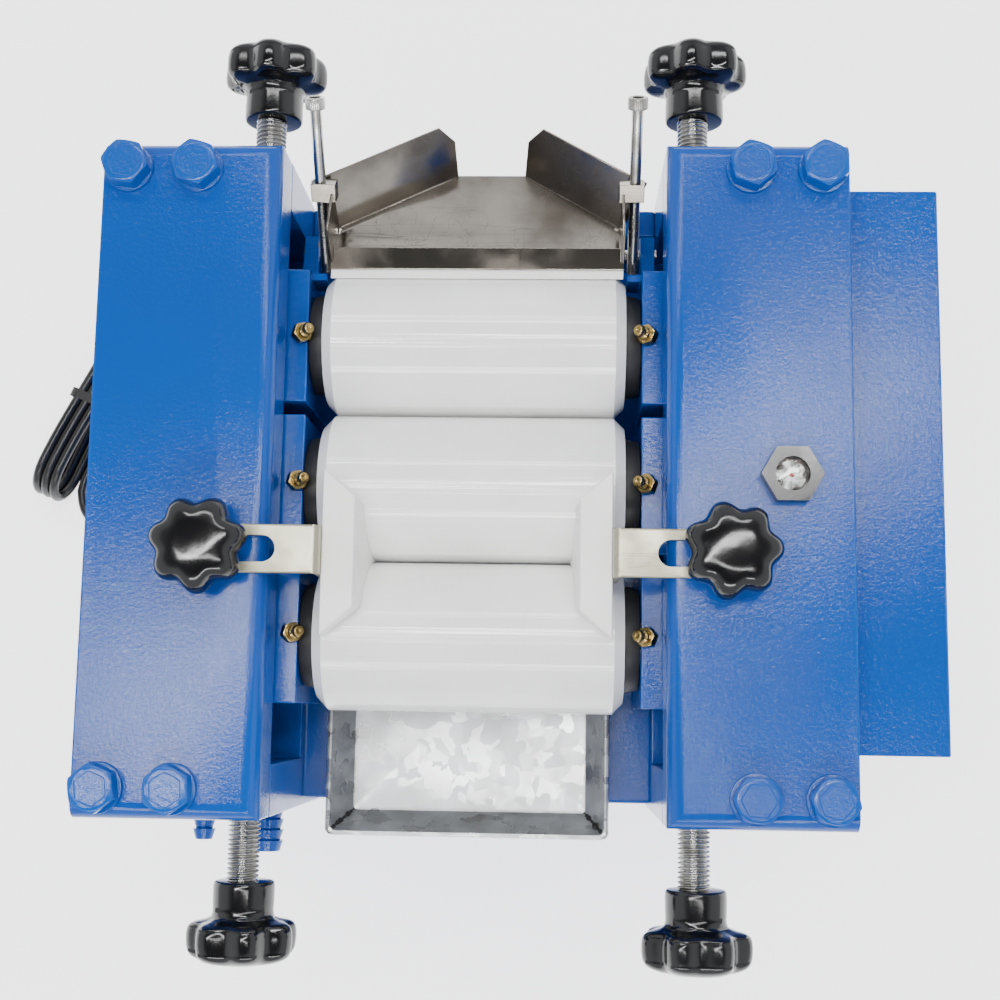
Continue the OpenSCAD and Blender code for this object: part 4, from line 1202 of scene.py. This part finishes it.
@dataclass
class SightGlass:
    """The oil sight plug: a hexagon body with a domed lens over a star reflector."""

    @staticmethod
    def spokes(radius: Array, angle: Array) -> Array:
        """Cuts five shallow notches into the star's outer rings."""
        return radius * (1.0 - 0.3 * (0.5 + 0.5 * np.cos(5 * angle)) ** 2 * (radius > 1.0))

    def build(self) -> None:
        """Makes the lens, the dish, the star and its dot inside the CAD plug's recess."""
        low, high = node_box("sight_lens")
        middle = ((low[0] + high[0]) / 2, (low[1] + high[1]) / 2, 0.0)
        radius, foot, top = (high[0] - low[0]) / 2, low[2], high[2]
        dome = [
            (radius - 0.3, foot + 2.2), (radius, foot + 2.4), (radius, top - 1.0),
            (radius * 0.8, top - 0.35), (radius * 0.4, top - 0.02), (0.4, top),
        ]
        dish = [
            (radius - 0.4, foot + 0.1), (radius - 0.2, foot + 1.9), (radius - 0.8, foot + 1.9),
            (radius - 2.0, foot + 0.7), (0.4, foot + 0.5),
        ]
        star = [(5.4, foot + 0.7), (5.8, foot + 0.9), (5.5, foot + 1.1), (0.6, foot + 1.25)]
        dot = [(0.9, foot + 1.1), (1.1, foot + 1.3), (0.8, foot + 1.5), (0.2, foot + 1.6)]
        lens = Place("root", "clear_lens", ("sight_lens",))
        metal, red = Place("root", "zinc"), Place("root", "switch_red")
        for name, shape, finish, place in (
            ("sight_dome", turned(rounded(dome, 0.5, 4), 56), LENS, lens),
            ("sight_dish", turned(rounded(dish, 0.3, 3), 56), DARK_STEEL, metal),
            ("sight_star", turned(np.array(star), 80, self.spokes), SILVERED, metal),
            ("sight_dot", turned(rounded(dot, 0.1, 3), 28), RED_PLASTIC, red),
        ):
            new_piece(name, shape.moved(middle), finish, place, 40.0)


@dataclass
class MainsLead:
    """The mains lead: a loose run to the bench, then a hank, then its moulded plug."""

    diameter: float = 6.2
    length: float = 1.336
    lift: float = 0.1
    exit: tuple[float, float, float] = (-188.0, -45.0, 60.0)
    route: tuple[tuple[float, float, float], ...] = (
        (-188, -45, 60), (-197, -45, 59), (-206, -44.5, 56), (-213, -43.5, 50), (-219, -41.5, 42),
        (-223, -39, 33), (-227, -36, 24), (-232, -32, 15), (-239, -26, 8), (-247, -18, 4.2),
        (-256, -9, 3.1), (-265, 3, 3.1), (-273, 15, 3.1), (-280, 27, 3.1), (-284, 33, 3.1),
        (-286, 39, 3.1), (-287, 46, 3.1),
    )
    tail: tuple[tuple[float, float, float], ...] = (
        (-262, 156, 3.1), (-258, 165, 3.1), (-250, 175, 3.1), (-238, 180, 3.1), (-225, 178, 3.1),
        (-214, 170, 3.1), (-209, 157, 3.6), (-211, 144, 5), (-216, 131, 7.6), (-221, 119, 9),
    )
    hank_at: tuple[float, float] = (-302.0, 38.0)
    hank_turn: float = -23.0
    lanes: tuple[float, ...] = (9.3, 3.1, -3.1, -9.3)
    fold: float = 17.9
    middle: float = 21.0
    straight: tuple[float, float] = (21.0, 121.0)
    pin_offset: float = 9.5

    def laid(self, across: Array, along: Array, height: Array) -> Array:
        """The hank's own coordinates, turned and moved to its place on the bench."""
        c, s = math.cos(math.radians(self.hank_turn)), math.sin(math.radians(self.hank_turn))
        x = self.hank_at[0] + across * c - along * s
        y = self.hank_at[1] + across * s + along * c
        return np.stack([x, y, height], -1)

    def hank(self) -> Array:
        """The wound turns: along the bench, round a half circle, back on top and round again,
        each turn one cord's width beside the last, then turned and moved to their place."""
        near, far = self.straight
        low, high = self.middle - self.fold, self.middle + self.fold
        run = np.linspace(near, far, 12, endpoint=False)
        arc = np.linspace(-0.5, 0.5, 12, endpoint=False) * math.pi
        ease = 0.5 - 0.5 * np.cos((run - near) / (far - near) * math.pi)
        parts = []
        for lane, following in zip(self.lanes[:-1], self.lanes[1:]):
            parts += [
                (lane, run, low),
                (lane, far + self.fold * np.cos(arc), self.middle + self.fold * np.sin(arc)),
                (lane + (following - lane) * ease, far + near - run, high),
                (following, near - self.fold * np.cos(arc), self.middle - self.fold * np.sin(arc)),
            ]
        parts.append((self.lanes[-1], run, low))
        local = np.vstack([np.stack(np.broadcast_arrays(*part), -1) for part in parts])
        return self.laid(*local.T)

    def tie(self) -> Surface:
        """A strap round the turns at their middle: a rounded oblong hoop."""
        mid = (self.straight[0] + self.straight[1]) / 2
        wide, tall = self.lanes[0] + self.diameter / 2, self.middle
        rows = np.array([(0.9, -3.0), (0.9, 3.0), (0.1, 3.0), (0.1, -3.0)])
        grow, along = rows[:, 0], rows[:, 1]
        loops = box_loop(wide + grow, tall - 0.9 + grow, 5.0 + grow, along, 8)
        x, height, y = loops[..., 0], loops[..., 1] + tall, loops[..., 2] + mid
        return skin(self.laid(x, y, height), closed=True)

    def plug(self) -> Surface:
        """Rings along the plug's axis, each |x / a|^n + |z / b|^n = 1 with its own half width a,
        half height b and power n, and two round pins."""
        rows = rounded([
            (0.0, 3.3, 3.3, 2.0), (1.0, 4.0, 4.0, 2.0), (5.0, 4.3, 4.3, 2.0), (6.0, 3.6, 3.6, 2.0),
            (8.0, 3.7, 3.7, 2.0), (9.0, 4.9, 4.8, 2.0), (12.0, 5.1, 5.0, 2.0), (13.0, 4.3, 4.3, 2.0),
            (15.0, 4.4, 4.4, 2.0), (16.0, 5.8, 5.5, 2.1), (20.0, 6.1, 5.8, 2.2), (23.0, 7.0, 6.4, 2.4),
            (26.0, 11.0, 8.2, 3.0), (31.0, 12.6, 8.8, 3.6), (40.0, 11.6, 8.4, 3.6),
            (46.0, 12.6, 8.8, 3.8), (52.0, 12.9, 8.9, 4.2), (53.6, 12.2, 8.3, 4.2),
            (54.0, 11.0, 7.2, 4.0), (54.0, 4.0, 3.0, 3.0),
        ], 0.7, 3)
        angle = around(56)[None, :]
        c, s, power = np.cos(angle), np.sin(angle), 2.0 / rows[:, 3:4]
        x = rows[:, 1:2] * np.sign(c) * np.abs(c) ** power
        y = rows[:, 2:3] * np.sign(s) * np.abs(s) ** power
        return skin(np.stack([x, y, rows[:, :1] + 0 * x], -1))

    def pins(self) -> Surface:
        """Two round pins, each with an insulating sleeve over its root."""
        outline = [
            (2.0, 52.0), (2.4, 52.2), (2.4, 62.5), (2.1, 63.0), (2.2, 63.2), (2.2, 71.0),
            (1.7, 72.6), (0.4, 73.0),
        ]
        pin = turned(rounded(outline, 0.4, 3), 28)
        return pin.moved((self.pin_offset, 0, 0)) + pin.moved((-self.pin_offset, 0, 0))

    def gland(self, low: Array, high: Array) -> Surface:
        """A tapered strain relief on a hexagon nut: ribs thin out towards the lead."""
        size = (high[2] - low[2]) / 2
        reach = high[0] - low[0]
        nut = hexagon_head(size * 1.732, 6.0)
        t = np.linspace(0.0, 1.0, 60)
        radius = (size * 0.72) * (1 - t) + 3.9 * t + 0.42 * (np.sin(TURN * 6 * t) > 0) * (1 - 0.4 * t)
        cone = turned(np.stack([radius, 5.0 + t * (reach - 5.0)], -1), 40)
        return nut + cone

    def build(self) -> None:
        """Makes the lead as one open curve and its tie, gland and plug."""
        route, tail = (smooth_path(np.array(path, float), 4) for path in (self.route, self.tail))
        centreline = np.vstack([route, self.hank(), tail])
        centreline[:, 2] = np.maximum(centreline[:, 2], self.diameter / 2 + self.lift)
        curve = bpy.data.curves.new("mains_lead", "CURVE")
        curve.dimensions = "3D"
        curve.bevel_depth = self.diameter / 2 * MM
        curve.bevel_resolution = 4
        curve.use_fill_caps = True
        line = curve.splines.new("POLY")
        line.points.add(len(centreline) - 1)
        weighted = np.hstack([centreline * MM, np.ones((len(centreline), 1))])
        line.points.foreach_set("co", weighted.astype(np.float32).ravel())
        steps = np.linalg.norm(np.diff(centreline, axis=0), axis=1)
        LOG.info("mains lead is %.3f m long", steps.sum() * MM)
        lead = linked("mains_lead", curve)
        curve.materials.append(CORD_SHEATH.material())
        settle(lead, Place("root", "cord_pvc", ("cord_tube", "cord_hank")))
        tie = new_piece("lead_tie", self.tie(), BLACK_RUBBER, Place("root", "cord_pvc"), 40.0)
        axis = (math.sin(math.radians(self.hank_turn)), -math.cos(math.radians(self.hank_turn)), 0.0)
        end = self.tail[-1]
        place = Place("root", "cord_pvc", ("mains_plug",))
        plug = new_piece("moulded_plug", self.plug().placed(end, axis), CORD_SHEATH, place, 45.0)
        place = Place("root", "bearing_steel")
        pins = new_piece("plug_pins", self.pins().placed(end, axis), STEEL, place, 40.0)
        low, high = node_box("cord_gland")
        wall = (high[0], (low[1] + high[1]) / 2, (low[2] + high[2]) / 2)
        gland = self.gland(low, high).placed(wall, (-1, 0, 0))
        place = Place("root", "black_plastic", ("cord_gland",))
        relief = new_piece("cord_relief", gland, BLACK_RUBBER, place, 35.0)


@dataclass
class Studio:
    """A plain pale floor, soft lights and the camera."""

    camera_at: tuple[float, float, float] = (37.4, -95.65, 992.6)
    camera_turn: tuple[float, float, float] = (8.0125, 2.1357, 0.9277)
    lens: float = 53.42
    sensor: float = 36.0
    floor_half: float = 4000.0
    floor_cells: int = 8
    floor_glow: float = 1.8
    side_glow: float = 1.35
    zenith_glow: float = 0.10
    strips: tuple[tuple[str, tuple[float, float, float], tuple[float, float], float], ...] = (
        ("overhead_strip", (-0.05, 0.11, 1.9), (1.5, 0.10), 18.0),
        ("overhead_strip_front", (-0.05, -0.21, 1.9), (1.5, 0.06), 7.0),
        ("rear_strip", (0.0, 1.15, 2.1), (1.5, 0.16), 14.0),
        ("front_strip", (0.0, -1.55, 1.8), (1.5, 0.22), 18.0),
    )

    def camera(self) -> None:
        """Makes the camera, with no depth of field."""
        data = bpy.data.cameras.new("camera")
        data.lens, data.sensor_width = self.lens, self.sensor
        obj = linked("camera", data)
        obj.location = [c * MM for c in self.camera_at]
        obj.rotation_euler = [math.radians(a) for a in self.camera_turn]
        bpy.context.scene.camera = obj

    def floor(self) -> None:
        """Makes the floor as a flat grid of points with a plain pale finish."""
        cells, row = self.floor_cells, self.floor_cells + 1
        side = np.linspace(-self.floor_half, self.floor_half, row)
        x, y = np.meshgrid(side, side)
        points = np.stack([x, y, 0 * x], -1).reshape(-1, 3) * MM
        k = (np.arange(cells)[:, None] * row + np.arange(cells)[None, :]).ravel()
        faces = np.stack([k, k + 1, k + row + 1, k + row], -1)
        mesh = bpy.data.meshes.new("floor")
        mesh.from_pydata(points.tolist(), [], faces.tolist())
        obj = linked("floor", mesh)
        material = bpy.data.materials.new("pale_floor")
        material.use_nodes = True
        shader = material.node_tree.nodes["Principled BSDF"]
        shader.inputs["Base Color"].default_value = (0.95, 0.95, 0.95, 1.0)
        shader.inputs["Roughness"].default_value = 0.9
        shader.inputs["Emission Color"].default_value = (1.0, 1.0, 1.0, 1.0)
        shader.inputs["Emission Strength"].default_value = self.floor_glow
        mesh.materials.append(material)

    def light(
        self, name: str, at: Sequence[float], size: tuple[float, float], power: float
    ) -> None:
        """Makes a rectangular soft light that faces the rolls.

        Args:
            name: The light's name.
            at: Its place in metres.
            size: Its width and length in metres.
            power: Its power in watts.
        """
        data = bpy.data.lights.new(name, "AREA")
        data.shape, data.size, data.size_y, data.energy = "RECTANGLE", size[0], size[1], power
        obj = linked(name, data)
        obj.location = at
        aim = np.array([0.0, 0.0, 0.34]) - np.array(at)
        level = math.hypot(aim[0], aim[1])
        heading = math.atan2(aim[1], aim[0]) - TURN / 4
        obj.rotation_euler = (math.atan2(level, -aim[2]), 0.0, heading)

    def lights(self) -> None:
        """Makes the soft lights and the pale surroundings."""
        for name, at, size, power in self.strips:
            self.light(name, at, size, power)
        world = bpy.data.worlds.new("pale_surroundings")
        world.use_nodes = True
        tree, shade = Tree(world.node_tree), world.node_tree.nodes["Background"]
        upward = tree.add("SeparateXYZ", {0: tree.add("TexCoord").outputs["Generated"]}).outputs[2]
        shade.inputs["Color"].default_value = (0.95, 0.97, 1.0, 1.0)
        strength = tree.window(upward, 0.55, 0.9, self.side_glow, self.zenith_glow)
        tree.feed(shade.inputs["Strength"], strength)
        bpy.context.scene.world = world


def dress_kept_nodes() -> None:
    """Gives every CAD node that still shows the finish of its record slot."""
    for node, obj in frame["nodes"].items():
        finish = SLOT_FINISH.get(slot_of_node(node))
        if obj.hide_render or finish is None:
            continue
        for slot in obj.material_slots:
            slot.material = finish.material()
        LOG.info("%s takes %s", node, finish.name)


def main() -> None:
    """Builds the camera and the lead first, then every sub-assembly."""
    logging.basicConfig(level=logging.INFO, format="%(message)s")
    studio = Studio()
    studio.camera()
    MainsLead().build()
    for part in (Bodywork, CapBolts, HandScrews, Hopper, Scraper, DripTray, RollSet, SightGlass):
        part().build()
    dress_kept_nodes()
    studio.floor()
    studio.lights()


if __name__ == "__main__":
    main()
